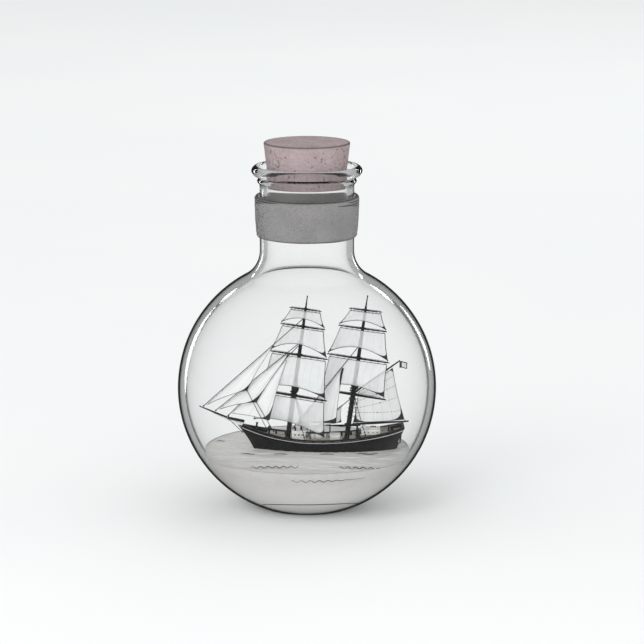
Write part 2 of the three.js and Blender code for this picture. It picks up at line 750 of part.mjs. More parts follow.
add("gaff", "spar", jawedSpar(throat, gaffEnd, 47.4, [0.35, 0.42, 0.25]));
add("boom", "spar", jawedSpar(boomHeel, boomEnd, 33.4, [0.4, 0.5, 0.3]));
const [peak, clew] = [point(34.8, 0, 56.8), point(39.7, 0, 35.5)];
add("spanker", "sail", spanker(point(20.8, 0, 46.8), peak, clew, point(18.9, 0, 34.3), 1.8));

const flagHoist = point(37.9, 0, 59.6);
const flag = (a, b) => flagHoist.clone().add(point(2.6 * a, 0.5 * Math.sin(5 * a), -2.3 * b - 0.4 * a));
add("ensign", "sail", sheet(flag, 6, 2));

add("fore_shrouds", "thread", shrouds(foreMast, 44.4, [[-0.9, 6.6, 28.2], [1.8, 6.7, 28]]));
add("main_shrouds", "thread", shrouds(mainMast, 44.2, [[21.2, 6.6, 29], [24, 6.4, 29.4]]));
add("bobstay", "thread", thread(point(-32, 0, 35.6), point(-26.4, 0, 30.2), 0.18));

export default ship;
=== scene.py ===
"""Looks for the ship in a bottle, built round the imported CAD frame.

Shapes are worked out in millimetres in the part's own frame (+Z up, bow to -X, port side to -Y) and
written to the meshes in metres.
"""

import json
import math
import random

import bmesh
import bpy
from mathutils import Matrix, Vector, noise


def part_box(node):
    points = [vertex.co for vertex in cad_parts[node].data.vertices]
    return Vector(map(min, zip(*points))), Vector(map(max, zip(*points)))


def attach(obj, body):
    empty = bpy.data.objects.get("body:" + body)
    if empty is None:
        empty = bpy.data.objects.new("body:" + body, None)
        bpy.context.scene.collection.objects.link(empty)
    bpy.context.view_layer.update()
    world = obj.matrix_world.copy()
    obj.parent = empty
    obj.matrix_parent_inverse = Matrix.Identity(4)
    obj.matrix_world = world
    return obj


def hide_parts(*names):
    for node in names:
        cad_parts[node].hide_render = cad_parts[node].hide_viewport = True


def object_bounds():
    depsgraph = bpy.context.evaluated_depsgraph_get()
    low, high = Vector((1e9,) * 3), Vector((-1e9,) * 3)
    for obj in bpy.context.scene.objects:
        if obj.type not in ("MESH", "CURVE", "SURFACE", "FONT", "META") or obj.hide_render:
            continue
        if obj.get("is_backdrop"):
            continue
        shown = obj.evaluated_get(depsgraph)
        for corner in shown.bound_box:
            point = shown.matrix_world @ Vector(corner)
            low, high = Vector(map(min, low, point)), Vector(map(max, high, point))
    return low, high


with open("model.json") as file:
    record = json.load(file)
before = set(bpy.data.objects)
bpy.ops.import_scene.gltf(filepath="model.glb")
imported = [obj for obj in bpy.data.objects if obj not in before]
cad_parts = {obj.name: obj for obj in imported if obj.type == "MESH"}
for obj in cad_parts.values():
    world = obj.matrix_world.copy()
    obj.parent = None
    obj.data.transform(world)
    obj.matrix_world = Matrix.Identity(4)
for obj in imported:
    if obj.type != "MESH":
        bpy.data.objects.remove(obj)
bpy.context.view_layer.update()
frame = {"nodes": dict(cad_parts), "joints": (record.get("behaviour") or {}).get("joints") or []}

MM = 0.001
UP = Vector((0, 0, 1))
BOTTLE, CORK, FORE, MAIN, SPANKER = "bottle", "cork", "fore_yards", "main_yards", "spanker_gear"


def lerp(a, b, t):
    return a + (b - a) * t


def clamp(x, low=0.0, high=1.0):
    return max(low, min(high, x))


def box_mm(node):
    low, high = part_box(node)
    return low / MM, high / MM


# ---- Camera: a long lens, 11 degrees above the level ----

VIEW_ELEVATION = math.radians(11)
VIEW_DISTANCE = 1.45
VIEW_CENTRE = Vector((0.00608, 0, 0.07597))
VIEW_WIDTH = 0.2611

camera_data = bpy.data.cameras.new("camera")
camera = bpy.data.objects.new("camera", camera_data)
bpy.context.scene.collection.objects.link(camera)
bpy.context.scene.camera = camera
back = Vector((0, -math.cos(VIEW_ELEVATION), math.sin(VIEW_ELEVATION)))
camera.location = VIEW_CENTRE + back * VIEW_DISTANCE
camera.rotation_mode = "QUATERNION"
camera.rotation_quaternion = (-back).to_track_quat("-Z", "Y")
camera_data.sensor_width = 36
camera_data.lens = 36 * VIEW_DISTANCE / VIEW_WIDTH
camera_data.clip_start = 0.05
camera_data.clip_end = 50


# ---- Mesh kit ----

class Shape:
    """Closed surfaces, in millimetres. Each face corner has a UV: u across or round, v along."""

    def __init__(self):
        self.points = []
        self.faces = []
        self.marks = {}

    def _grid(self, rings, around, along, wrap):
        """Joins rows of points into quads. around and along give each column's and row's UV."""
        start = len(self.points)
        count = len(rings[0])
        for ring in rings:
            self.points += ring
        for i in range(len(rings) - 1):
            for j in range(count if wrap else count - 1):
                k = (j + 1) % count
                corners = [start + i * count + j, start + i * count + k,
                           start + (i + 1) * count + k, start + (i + 1) * count + j]
                uvs = [(around[j], along[i]), (around[j + 1], along[i]),
                       (around[j + 1], along[i + 1]), (around[j], along[i + 1])]
                self.faces.append((corners, uvs))
        return start, count

    def _cap(self, indices, v, flip):
        points = [self.points[i] for i in indices]
        middle = sum(points, Vector()) / len(points)
        self.points.append(middle)
        hub = len(self.points) - 1
        for i, a in enumerate(indices):
            b = indices[(i + 1) % len(indices)]
            corners = [a, b, hub] if flip else [b, a, hub]
            self.faces.append((corners, [(p.x, p.y + v) for p in (self.points[c] for c in corners)]))

    def tube(self, path, radius, sides=10, closed=False, strands=0, pitch=1.1):
        """A round bar along a path. radius is a number, or a function of the share of the length.
        With strands, the section is that of laid rope."""
        path = [Vector(p) for p in path]
        size = radius if callable(radius) else (lambda t: radius)
        count = len(path)
        length = [0.0]
        for a, b in zip(path, path[1:]):
            length.append(length[-1] + (b - a).length)
        total = length[-1] or 1
        tangents = []
        for i in range(count):
            a = path[i - 1] if i or closed else path[i]
            b = path[(i + 1) % count] if i + 1 < count or closed else path[i]
            tangents.append((b - a).normalized())
        side = tangents[0].orthogonal().normalized()
        rings = []
        for i, (p, t) in enumerate(zip(path, tangents)):
            side = (side - t * side.dot(t)).normalized()
            other = t.cross(side)
            ring = []
            for j in range(sides):
                angle = 2 * math.pi * j / sides
                r = size(length[i] / total)
                if strands:
                    twist = angle * strands / 2 + math.pi * length[i] / pitch
                    r *= 0.8 + 0.26 * abs(math.cos(twist))
                ring.append(p + (side * math.cos(angle) + other * math.sin(angle)) * r)
            rings.append(ring)
        around = [2 * math.pi * size(0.5) * j / sides for j in range(sides + 1)]
        if closed:
            rings.append(rings[0])
            start = len(self.points)
            flat = rings[:-1]
            for ring in flat:
                self.points += ring
            for i in range(count):
                n = (i + 1) % count
                for j in range(sides):
                    k = (j + 1) % sides
                    corners = [start + i * sides + j, start + i * sides + k,
                               start + n * sides + k, start + n * sides + j]
                    v = [length[i], length[i] + 0.3]
                    self.faces.append((corners, [(around[j], v[0]), (around[j + 1], v[0]),
                                                 (around[j + 1], v[1]), (around[j], v[1])]))
            return self
        start, sides = self._grid(rings, around, length, True)
        self._cap([start + j for j in range(sides)], 0, False)
        self._cap([start + (count - 1) * sides + j for j in range(sides)], total, True)
        return self

    def rope(self, a, b, radius, sag=0.0):
        """A laid rope from a to b, with an optional sag."""
        a, b = Vector(a), Vector(b)
        steps = max(4, int((b - a).length / 0.45))
        path = []
        for i in range(steps + 1):
            t = i / steps
            p = a.lerp(b, t)
            p.z -= sag * math.sin(math.pi * t)
            path.append(p)
        return self.tube(path, radius, 9, strands=3)

    def rod(self, a, b, *radii, sides=16, steps=14):
        """A straight bar whose radius runs smoothly through radii."""
        a, b = Vector(a), Vector(b)

        def size(t):
            if len(radii) == 1:
                return radii[0]
            x = t * (len(radii) - 1)
            i = min(int(x), len(radii) - 2)
            return lerp(radii[i], radii[i + 1], x - i)

        return self.tube([a.lerp(b, i / steps) for i in range(steps + 1)], size, sides)

    def lathe(self, profile, sides=48, at=(0, 0, 0), along=UP, shake=None):
        """A turned solid. Its profile runs from axis to axis as (radius, height)."""
        turn = UP.rotation_difference(Vector(along).normalized()).to_matrix()
        rows = [(r, z) for r, z in profile if r > 1e-6]
        distance = [0.0]
        for (r0, z0), (r1, z1) in zip(rows, rows[1:]):
            distance.append(distance[-1] + math.hypot(r1 - r0, z1 - z0))
        rings = []
        for r, z in rows:
            ring = []
            for j in range(sides):
                angle = 2 * math.pi * j / sides
                p = Vector((r * math.cos(angle), r * math.sin(angle), z))
                if shake:
                    p = shake(p)
                ring.append(turn @ p + Vector(at))
            rings.append(ring)
        widest = max(r for r, z in rows)
        around = [2 * math.pi * widest * j / sides for j in range(sides + 1)]
        start, sides = self._grid(rings, around, distance, True)
        for row, (r, z), flip in ((0, profile[0], False), (len(rings) - 1, profile[-1], True)):
            indices = [start + row * sides + j for j in range(sides)]
            self._cap(indices, 0, flip)
            self.points[-1] = turn @ Vector((0, 0, z)) + Vector(at)
        return self

    def ring(self, profile, sides=96, at=(0, 0, 0), along=UP, shake=None):
        """A turned ring: its profile is a closed loop of (radius, height) off the axis."""
        turn = UP.rotation_difference(Vector(along).normalized()).to_matrix()
        start = len(self.points)
        count = len(profile)
        for j in range(sides):
            angle = 2 * math.pi * j / sides
            for r, z in profile:
                p = Vector((r * math.cos(angle), r * math.sin(angle), z))
                if shake:
                    p = shake(p)
                self.points.append(turn @ p + Vector(at))
        loop = [0.0]
        for i in range(count):
            (r0, z0), (r1, z1) = profile[i], profile[(i + 1) % count]
            loop.append(loop[-1] + math.hypot(r1 - r0, z1 - z0))
        widest = max(r for r, z in profile)
        for j in range(sides):
            n = (j + 1) % sides
            for i in range(count):
                k = (i + 1) % count
                corners = [start + j * count + i, start + n * count + i, start + n * count + k,
                           start + j * count + k]
                u = [2 * math.pi * widest * (j + d) / sides for d in (0, 1)]
                self.faces.append((corners, [(u[0], loop[i]), (u[1], loop[i]), (u[1], loop[i + 1]),
                                             (u[0], loop[i + 1])]))
        return self

    def torus(self, at, along, radius, thick, sides=28, section=10):
        profile = [(radius + thick * math.cos(2 * math.pi * i / section),
                    thick * math.sin(2 * math.pi * i / section)) for i in range(section)]
        return self.ring(profile, sides, at, along)

    def ball(self, at, radius, sides=14, flat=1.0):
        rows = [(radius * math.sin(math.pi * i / 8), -radius * flat * math.cos(math.pi * i / 8))
                for i in range(9)]
        return self.lathe(rows, sides, at)

    def box(self, centre, size, turn=None, taper=1.0):
        """A block. taper scales its top."""
        x, y, z = (s / 2 for s in size)
        start = len(self.points)
        for sz, share in ((-z, 1.0), (z, taper)):
            for sx, sy in ((-x, -y), (x, -y), (x, y), (-x, y)):
                p = Vector((sx * share, sy * share, sz))
                if turn:
                    p = turn @ p
                self.points.append(p + Vector(centre))
        quads = [(3, 2, 1, 0), (4, 5, 6, 7), (0, 1, 5, 4), (1, 2, 6, 5), (2, 3, 7, 6), (3, 0, 4, 7)]
        for q in quads:
            corners = [start + i for i in q]
            p = [self.points[i] for i in corners]
            w, h = (p[1] - p[0]).length, (p[2] - p[1]).length
            self.faces.append((corners, [(0, 0), (w, 0), (w, h), (0, h)]))
        return self

    def sheet(self, surface, across, down, thick, width=None, height=None):
        """A thin closed sheet over surface(a, b), with UVs in millimetres across and down."""
        step = 1e-3
        grid, normals = [], []
        for j in range(down + 1):
            for i in range(across + 1):
                a, b = i / across, j / down
                p = surface(a, b)
                u = surface(min(1, a + step), b) - surface(max(0, a - step), b)
                v = surface(a, min(1, b + step)) - surface(a, max(0, b - step))
                grid.append(p)
                normals.append(u.cross(v).normalized())
        width = width or (surface(1, 0.5) - surface(0, 0.5)).length
        height = height or (surface(0.5, 1) - surface(0.5, 0)).length
        row = across + 1
        layer = row * (down + 1)
        start = len(self.points)
        for hand in (0.5, -0.5):
            self.points += [p + n * (hand * thick) for p, n in zip(grid, normals)]

        def uv(k):
            return (k % row) / across * width, (k // row) / down * height

        def face(*corners):
            self.faces.append(([start + c for c in corners], [uv(c % layer) for c in corners]))

        for j in range(down):
            for i in range(across):
                k = j * row + i
                face(k, k + 1, k + row + 1, k + row)
                face(layer + k, layer + k + row, layer + k + row + 1, layer + k + 1)
        rim = list(range(across))
        rim += [j * row + across for j in range(down)]
        rim += [down * row + i for i in range(across, 0, -1)]
        rim += [j * row for j in range(down, 0, -1)]
        for n, k in enumerate(rim):
            m = rim[(n + 1) % len(rim)]
            face(k, layer + k, layer + m, m)
        return self

    def capped(self, rings, around, along):
        """A closed bar through equal rings, with a flat cap on each end."""
        count = len(rings[0])
        start, _ = self._grid(rings, around, along, True)
        last = start + (len(rings) - 1) * count
        self._cap([start + j for j in range(count)], 0, False)
        self._cap([last + j for j in range(count)], 0, True)

    def loft(self, sections):
        """A closed solid through closed sections, each listed starboard first, then the same to port."""
        count = len(sections[0])
        around = [0.0]
        for i in range(count):
            around.append(around[-1] + (sections[0][(i + 1) % count] - sections[0][i]).length)
        along = [s[0].x for s in sections]
        start, _ = self._grid(sections, around, along, True)
        last = start + (len(sections) - 1) * count
        for k in range(count // 2 - 1):
            for base, flip in ((start, False), (last, True)):
                corners = [base + k, base + k + 1, base + count - 2 - k, base + count - 1 - k]
                if flip:
                    corners.reverse()
                self.faces.append((corners, [(self.points[c].y, self.points[c].z) for c in corners]))
        return self


def piece(name, shape, look, body=BOTTLE, replaces=(), sharp=38, bevel=0.0, marks=None):
    """Makes one visible piece of a shape, in metres, riding on a body."""
    mesh = bpy.data.meshes.new(name)
    mesh.from_pydata([p * MM for p in shape.points], [], [f[0] for f in shape.faces])
    layer = mesh.uv_layers.new(name="lay")
    at = 0
    for face in shape.faces:
        for uv in face[1]:
            layer.data[at].uv = uv
            at += 1
    for key, values in (marks or {}).items():
        mesh.attributes.new(key, "FLOAT", "POINT").data.foreach_set("value", values)
    work = bmesh.new()
    work.from_mesh(mesh)
    bmesh.ops.recalc_face_normals(work, faces=work.faces)
    work.to_mesh(mesh)
    work.free()
    mesh.polygons.foreach_set("use_smooth", [True] * len(mesh.polygons))
    mesh.set_sharp_from_angle(angle=math.radians(sharp))
    mesh.materials.append(look)
    made = bpy.data.objects.new(name, mesh)
    bpy.context.scene.collection.objects.link(made)
    if bevel:
        edge = made.modifiers.new("edge", "BEVEL")
        edge.width = bevel * MM
        edge.segments = 2
        edge.limit_method = "ANGLE"
        edge.angle_limit = math.radians(40)
    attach(made, body)
    if replaces:
        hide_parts(*replaces)
    return made


def spline(points, steps):
    """A smooth curve through points, which are tuples."""
    out = []
    last = len(points) - 1
    for i in range(last):
        p = [points[max(0, min(last, i + d))] for d in (-1, 0, 1, 2)]
        for k in range(steps):
            t = k / steps
            out.append(tuple(
                0.5 * (2 * b + (c - a) * t + (2 * a - 5 * b + 4 * c - d) * t * t
                       + (3 * b - a - 3 * c + d) * t ** 3)
                for a, b, c, d in zip(*p)))
    out.append(tuple(points[-1]))
    return out


def reading(points):
    """A smooth height over x through the points of a list."""
    curve = spline(points, 24)

    def read(x):
        for (x0, y0), (x1, y1) in zip(curve, curve[1:]):
            if x <= x1:
                return lerp(y0, y1, clamp((x - x0) / (x1 - x0)))
        return curve[-1][1]

    return read


# ---- Materials ----

def tone(r, g=None, b=None):
    """An 8-bit screen colour as a linear RGBA."""
    g = r if g is None else g
    b = r if b is None else b
    return tuple((c / 255 / 12.92) if c <= 10 else ((c / 255 + 0.055) / 1.055) ** 2.4
                 for c in (r, g, b)) + (1.0,)


class Look:
    """A procedural material: one Principled shader and the nodes that feed it."""

    def __init__(self, name, colour, roughness, sockets=None):
        self.material = bpy.data.materials.new(name)
        self.material.use_nodes = True
        self.tree = self.material.node_tree
        self.shader = self.tree.nodes["Principled BSDF"]
        self.set("Base Color", colour)
        self.set("Roughness", roughness)
        for key, value in (sockets or {}).items():
            self.set(key, value)

    def put(self, socket, value):
        if isinstance(value, bpy.types.NodeSocket):
            self.tree.links.new(value, socket)
        else:
            socket.default_value = value

    def set(self, key, value):
        self.put(self.shader.inputs[key], value)

    def node(self, kind, inputs=None, **settings):
        made = self.tree.nodes.new("ShaderNode" + kind)
        for key, value in settings.items():
            setattr(made, key, value)
        for key, value in (inputs or {}).items():
            self.put(made.inputs[key], value)
        return made

    def place(self, scale=(1, 1, 1), uv=False):
        """Coordinates: the piece's own place in metres, or its UVs in millimetres."""
        source = self.node("UVMap", uv_map="lay") if uv else self.node("TexCoord")
        out = source.outputs["UV" if uv else "Object"]
        return self.node("Mapping", {"Vector": out, "Scale": scale}).outputs["Vector"]

    def noise(self, vector, scale, detail=4.0, rough=0.55, distortion=0.0):
        return self.node("TexNoise", {"Vector": vector, "Scale": scale, "Detail": detail, "Roughness": rough,
                                      "Distortion": distortion}).outputs["Fac"]

    def ramp(self, value, *stops):
        made = self.node("ValToRGB", {"Fac": value})
        elements = made.color_ramp.elements
        while len(elements) < len(stops):
            elements.new(0.5)
        for element, (at, colour) in zip(elements, stops):
            element.position = at
            element.color = colour if isinstance(colour, tuple) else (colour, colour, colour, 1)
        return made.outputs["Color"]

    def mix(self, share, a, b, blend="MIX"):
        made = self.node("Mix", data_type="RGBA", blend_type=blend)
        self.put(made.inputs["Factor"], share)
        self.put(made.inputs[6], a)
        self.put(made.inputs[7], b)
        return made.outputs[2]

    def maths(self, operation, a, b=0.0, clamped=False):
        made = self.node("Math", operation=operation, use_clamp=clamped)
        self.put(made.inputs[0], a)
        self.put(made.inputs[1], b)
        return made.outputs[0]

    def bump(self, height, strength, distance, normal=None):
        """distance is in millimetres."""
        inputs = {"Height": height, "Strength": strength, "Distance": distance * MM}
        if normal is not None:
            inputs["Normal"] = normal
        out = self.node("Bump", inputs).outputs["Normal"]
        self.set("Normal", out)
        return out


def glass_look():
    """Clear glass with a painted dark rim, whose colour goes near black towards grazing angles, and which
    lets lamps through.
    """
    look = Look("clear_glass", tone(255), 0.0, {"IOR": 1.4, "Transmission Weight": 1.0})
    # Painted shade: a Layer Weight ramp turns the glass colour near black at grazing angles, so each view
    # shows a dark rim.
    facing = look.node("LayerWeight", {"Blend": 0.5}).outputs["Facing"]
    painted_rim_mask = look.node("Attribute", attribute_name="line").outputs["Fac"]
    edge = look.ramp(facing, (0.0, 1.0), (0.77, 1.0), (0.83, 0.0), (1.0, 0.0))
    look.set("Base Color", look.mix(painted_rim_mask, tone(254), edge))
    waves = look.noise(look.place((1, 1, 0.6)), 26, 2, 0.4)
    look.bump(waves, 0.25, 0.5)
    lets_through = look.node("BsdfTransparent", {"Color": (0.93, 0.935, 0.935, 1)}).outputs["BSDF"]
    shadow = look.node("LightPath").outputs["Is Shadow Ray"]
    both = look.node("MixShader")
    look.put(both.inputs[0], shadow)
    look.put(both.inputs[1], look.shader.outputs["BSDF"])
    look.put(both.inputs[2], lets_through)
    look.put(look.tree.nodes["Material Output"].inputs["Surface"], both.outputs[0])
    return look.material


def leather_look():
    look = Look("band_leather", tone(147, 145, 146), 0.62, {"Sheen Weight": 0.15, "Sheen Roughness": 0.5})
    place = look.place()
    patches = look.noise(place, 90, 5, 0.6)
    grain = look.node("TexVoronoi", {"Vector": place, "Scale": 1500, "Randomness": 1.0},
                      feature="DISTANCE_TO_EDGE")
    creases = look.ramp(grain.outputs["Distance"], (0.0, 0.0), (0.16, 1.0))
    fine = look.noise(place, 2400, 3)
    base = look.ramp(patches, (0.3, tone(130, 128, 129)), (0.5, tone(138, 136, 137)),
                     (0.75, tone(144, 142, 143)))
    base = look.mix(0.35, base, creases, "MULTIPLY")
    edge = look.node("Attribute", attribute_name="edge").outputs["Fac"]
    # Painted shade: dark dots stippled into the colour, strongest on the band's left and right sides.
    shade_stipple = look.node("Attribute", attribute_name="shade_stipple").outputs["Fac"]
    dots = look.node("TexVoronoi", {"Vector": place, "Scale": 1250, "Randomness": 0.9})
    dots = look.maths("LESS_THAN", dots.outputs["Distance"], look.maths("MULTIPLY", shade_stipple, 0.6))
    base = look.mix(look.maths("MULTIPLY", dots, 0.85), base, tone(36, 34, 35))
    base = look.mix(edge, base, tone(40, 38, 39))
    lining = look.node("Attribute", attribute_name="lining").outputs["Fac"]
    look.set("Base Color", look.mix(lining, base, tone(244, 243, 240)))
    look.set("Roughness", look.ramp(patches, (0.3, 0.52), (0.7, 0.74)))
    first = look.bump(creases, 0.55, 0.12)
    look.bump(fine, 0.3, 0.05, first)
    return look.material


def cork_look():
    look = Look("cork", tone(166, 151, 154), 0.9)
    place = look.place()
    broad = look.noise(place, 110, 5, 0.6)
    grain = look.noise(place, 900, 6, 0.65)
    cells = look.node("TexVoronoi", {"Vector": place, "Scale": 620, "Randomness": 1.0})
    speck = look.ramp(cells.outputs["Distance"], (0.12, 1.0), (0.3, 0.0))
    chosen = look.ramp(look.noise(place, 260, 2), (0.52, 0.0), (0.6, 1.0))
    speck = look.maths("MULTIPLY", speck, chosen)
    # Dark where the pit mark is set: the pits, which gather at the left and right sides as painted shade, and
    # a ring on the top edge.
    pits_and_painted_shade = look.node("Attribute", attribute_name="pits_and_painted_shade").outputs["Fac"]
    base = look.ramp(broad, (0.3, tone(154, 139, 140)), (0.55, tone(165, 150, 152)),
                     (0.75, tone(176, 162, 163)))
    base = look.mix(look.ramp(grain, (0.35, 0.42), (0.62, 0.0)), base, tone(132, 114, 115))
    base = look.mix(look.maths("MULTIPLY", speck, 0.7), base, tone(96, 78, 78))
    look.set("Base Color", look.mix(pits_and_painted_shade, base, tone(70, 55, 54)))
    height = look.maths("SUBTRACT", grain, look.maths("MULTIPLY", speck, 0.5))
    look.bump(height, 0.5, 0.25)
    return look.material


def sea_look():
    look = Look("sea_putty", tone(191, 190, 188), 0.42, {"Coat Weight": 0.12, "Coat Roughness": 0.2})
    place = look.place()
    broad = look.noise(place, 45, 4, 0.6)
    swell = look.noise(look.place((0.45, 1, 1)), 520, 4, 0.6, 0.6)
    base = look.ramp(broad, (0.3, tone(219, 217, 215)), (0.55, tone(225, 223, 220)),
                     (0.75, tone(229, 227, 224)))
    base = look.mix(look.ramp(swell, (0.42, 0.28), (0.55, 0.0)), base, tone(206, 203, 201))
    crest = look.node("Attribute", attribute_name="crest").outputs["Fac"]
    # Painted light: the putty is paler where it faces up (the sea's top) and down (its underside), set by its
    # normal.
    normal = look.node("NewGeometry").outputs["Normal"]
    facing = look.node("SeparateXYZ", {"Vector": normal}).outputs["Z"]
    painted_light_by_facing = look.maths("ADD", look.maths("MULTIPLY", facing, 0.5), 0.5)
    base = look.mix(look.ramp(painted_light_by_facing, (0.1, 0.85), (0.2, 0.0), (0.75, 0.0), (0.92, 0.55)), base,
                    tone(252, 251, 249))
    look.set("Base Color", look.mix(crest, base, tone(250, 250, 248)))
    look.set("Roughness", look.ramp(swell, (0.3, 0.36), (0.7, 0.55)))
    look.bump(swell, 0.5, 0.22)
    return look.material


def planked_look(name, light, dark, seam, rows, length, roughness, seam_depth=0.06, uv=True, gloss=0.5):
    """Painted or bare planking, with seams, butts, grain and a tone that changes from plank to plank."""
    look = Look(name, light, roughness, {"Specular IOR Level": gloss})
    place = look.place(uv=True) if uv else look.place((1 / MM, 1 / MM, 1 / MM))
    bricks = look.node("TexBrick", {"Vector": place, "Color1": light, "Color2": dark, "Mortar": seam,
                                    "Scale": 1.0,
                                    "Mortar Size": 0.035 * rows, "Mortar Smooth": 0.3, "Bias": 0.0,
                                    "Brick Width": length, "Row Height": rows}, offset=0.37, squash=1.0)
    streaks = look.noise(look.place((60, 900, 900)), 1.0, 5, 0.6)
    worn = look.noise(look.place(), 240, 4)
    shade = look.ramp(streaks, (0.3, 0.86), (0.7, 1.06))
    colour = look.mix(0.8, bricks.outputs["Color"], shade, "MULTIPLY")
    look.set("Base Color", look.mix(look.ramp(worn, (0.55, 0.0), (0.8, 0.2)), colour, seam))
    look.set("Roughness", look.ramp(worn, (0.3, roughness - 0.08), (0.7, roughness + 0.1)))
    height = look.maths("SUBTRACT", look.maths("MULTIPLY", streaks, 0.35), bricks.outputs["Fac"])
    look.bump(height, 0.6, seam_depth)
    return look.material


def paint_look(name, colour, dirt, roughness, scale=700, gloss=0.5):
    """Brushed paint over wood, with dirt in its hollows."""
    look = Look(name, colour, roughness, {"Specular IOR Level": gloss})
    place = look.place()
    streaks = look.noise(look.place((0.25, 1, 1)), scale, 5, 0.6)
    stain = look.noise(place, 230, 4, 0.6)
    shade = look.mix(look.ramp(stain, (0.52, 0.0), (0.78, 0.55)), colour, dirt)
    look.set("Base Color", look.mix(look.ramp(streaks, (0.35, 0.3), (0.6, 0.0)), shade, dirt))
    look.set("Roughness", look.ramp(streaks, (0.3, roughness - 0.08), (0.7, roughness + 0.1)))
    look.bump(streaks, 0.4, 0.05)
    return look.material


def spar_look():
    """Dark stained wood with its grain along the spar."""
    look = Look("spar_wood", tone(30, 27, 26), 0.45, {"Specular IOR Level": 0.2})
    grain = look.noise(look.place((2.6, 0.18, 1), uv=True), 1.6, 6, 0.65, 0.4)
    worn = look.noise(look.place(), 300, 3)
    base = look.ramp(grain, (0.3, tone(18, 16, 16)), (0.55, tone(28, 25, 24)), (0.8, tone(46, 41, 39)))
    look.set("Base Color", look.mix(look.ramp(worn, (0.6, 0.0), (0.85, 0.35)), base, tone(66, 60, 57)))
    look.set("Roughness", look.ramp(grain, (0.3, 0.38), (0.7, 0.58)))
    look.bump(grain, 0.4, 0.05)
    return look.material


def sail_look(name, colour, shade, alpha):
    """Thin waxed paper cloth: a fine weave, sewn panels and soft blotches. Each face lets some light by."""
    look = Look(name, colour, 0.82, {"Alpha": alpha, "Sheen Weight": 0.1})
    uv = look.place(uv=True)
    split = look.node("SeparateXYZ", {"Vector": uv})
    across, down = split.outputs["X"], split.outputs["Y"]

    def lines(value, gap, width):
        """1 along thin lines at every gap, in millimetres."""
        saw = look.maths("PINGPONG", value, gap / 2)
        return look.maths("LESS_THAN", saw, width / 2)

    panels = lines(across, 3.4, 0.16)
    weft = look.maths("SINE", look.maths("MULTIPLY", down, 2 * math.pi / 0.3))
    warp = look.maths("SINE", look.maths("MULTIPLY", across, 2 * math.pi / 0.3))
    weave = look.maths("MULTIPLY", weft, warp)
    blotch = look.noise(look.place(), 160, 4, 0.6)
    base = look.ramp(blotch, (0.3, shade), (0.6, colour))
    look.set("Base Color", look.mix(look.maths("MULTIPLY", panels, 0.35), base, tone(176, 174, 173)))
    first = look.bump(weave, 0.25, 0.03)
    look.bump(panels, 0.5, 0.06, first)
    look.set("Roughness", look.ramp(blotch, (0.3, 0.74), (0.7, 0.9)))
    return look.material


def cloth_look(name, colour, light):
    """Close dark cloth for painted shade in sail corners and other painted shade marks, and for the flag's
    border.
    """
    look = Look(name, colour, 0.85, {"Sheen Weight": 0.2})
    grain = look.noise(look.place(), 1800, 4)
    look.set("Base Color", look.ramp(grain, (0.3, colour), (0.8, light)))
    look.bump(grain, 0.5, 0.06)
    return look.material


def rope_look():
    look = Look("rigging_thread", tone(26, 25, 25), 0.78, {"Sheen Weight": 0.15})
    fibre = look.noise(look.place((3, 0.6, 1), uv=True), 4, 4)
    look.set("Base Color", look.ramp(fibre, (0.3, tone(18, 17, 17)), (0.75, tone(48, 46, 45))))
    look.bump(fibre, 0.4, 0.03)
    return look.material


def wire_look():
    look = Look("drawn_wire", tone(178, 176, 170), 0.32, {"Metallic": 1.0})
    drawn = look.noise(look.place((1, 1, 0.1)), 2500, 3)
    look.set("Roughness", look.ramp(drawn, (0.3, 0.24), (0.7, 0.44)))
    look.bump(drawn, 0.2, 0.02)
    return look.material


GLASS = glass_look()
LEATHER = leather_look()
CORK_WOOD = cork_look()
PUTTY = sea_look()
HULL_PAINT = planked_look("hull_planking", tone(15, 15, 17), tone(19, 19, 21), tone(6, 6, 7), 0.62, 9.0,
                          0.42, gloss=0.15)
DECK_WOOD = planked_look("deck_planking", tone(205, 198, 187), tone(190, 183, 172), tone(84, 78, 74), 0.62,
                         11.0, 0.62,
                         uv=False)
BLACK = paint_look("black_paint", tone(18, 18, 19), tone(40, 38, 37), 0.42, gloss=0.15)
WHITE = paint_look("white_paint", tone(238, 237, 234), tone(186, 182, 178), 0.5)
GREY_LINE = paint_look("sheer_line_paint", tone(206, 205, 202), tone(150, 148, 146), 0.5)
PANE = paint_look("dark_panes", tone(30, 31, 33), tone(52, 52, 54), 0.14)
SPAR = spar_look()
FORE_CLOTH = sail_look("fore_sailcloth", tone(238, 240, 240), tone(230, 232, 232), 0.43)
MAIN_CLOTH = sail_look("main_sailcloth", tone(244, 245, 246), tone(236, 238, 239), 0.43)
STAY_CLOTH = sail_look("staysail_cloth", tone(250, 251, 251), tone(243, 245, 245), 0.85)
SHADE_AND_TRIM_CLOTH = cloth_look("shade_and_trim_cloth", tone(26, 25, 25), tone(54, 52, 52))
FLAG = cloth_look("flag_cloth", tone(236, 236, 236), tone(246, 246, 246))
ROPE = rope_look()
WIRE = wire_look()


# ---- Flask ----

BALL_R = 52.5
BASE_R = 18.5
BALL_Z = math.sqrt(BALL_R ** 2 - BASE_R ** 2)
WALL = 2.8
NECK_R = 19.1
SHOULDER_R = 12
SHOULDER = (NECK_R + SHOULDER_R,
            BALL_Z + math.sqrt((BALL_R + SHOULDER_R) ** 2 - (NECK_R + SHOULDER_R) ** 2))
SHOULDER_ANGLE = math.atan2(SHOULDER[1] - BALL_Z, SHOULDER[0])


def arc(centre, radius, start, end, steps):
    return [(centre[0] + radius * math.cos(lerp(start, end, i / steps)),
             centre[1] + radius * math.sin(lerp(start, end, i / steps))) for i in range(steps + 1)]


def blown(strength, seed):
    """The slight unevenness of blown glass."""
    def shake(p):
        swell = noise.noise(Vector((p.x, p.y, p.z)) * 0.035 + Vector((seed, 0, 0)))
        out = Vector((p.x, p.y, 0))
        if out.length > 1:
            p = p + out.normalized() * swell * strength * clamp((p.z - 1) / 6)
        return p
    return shake


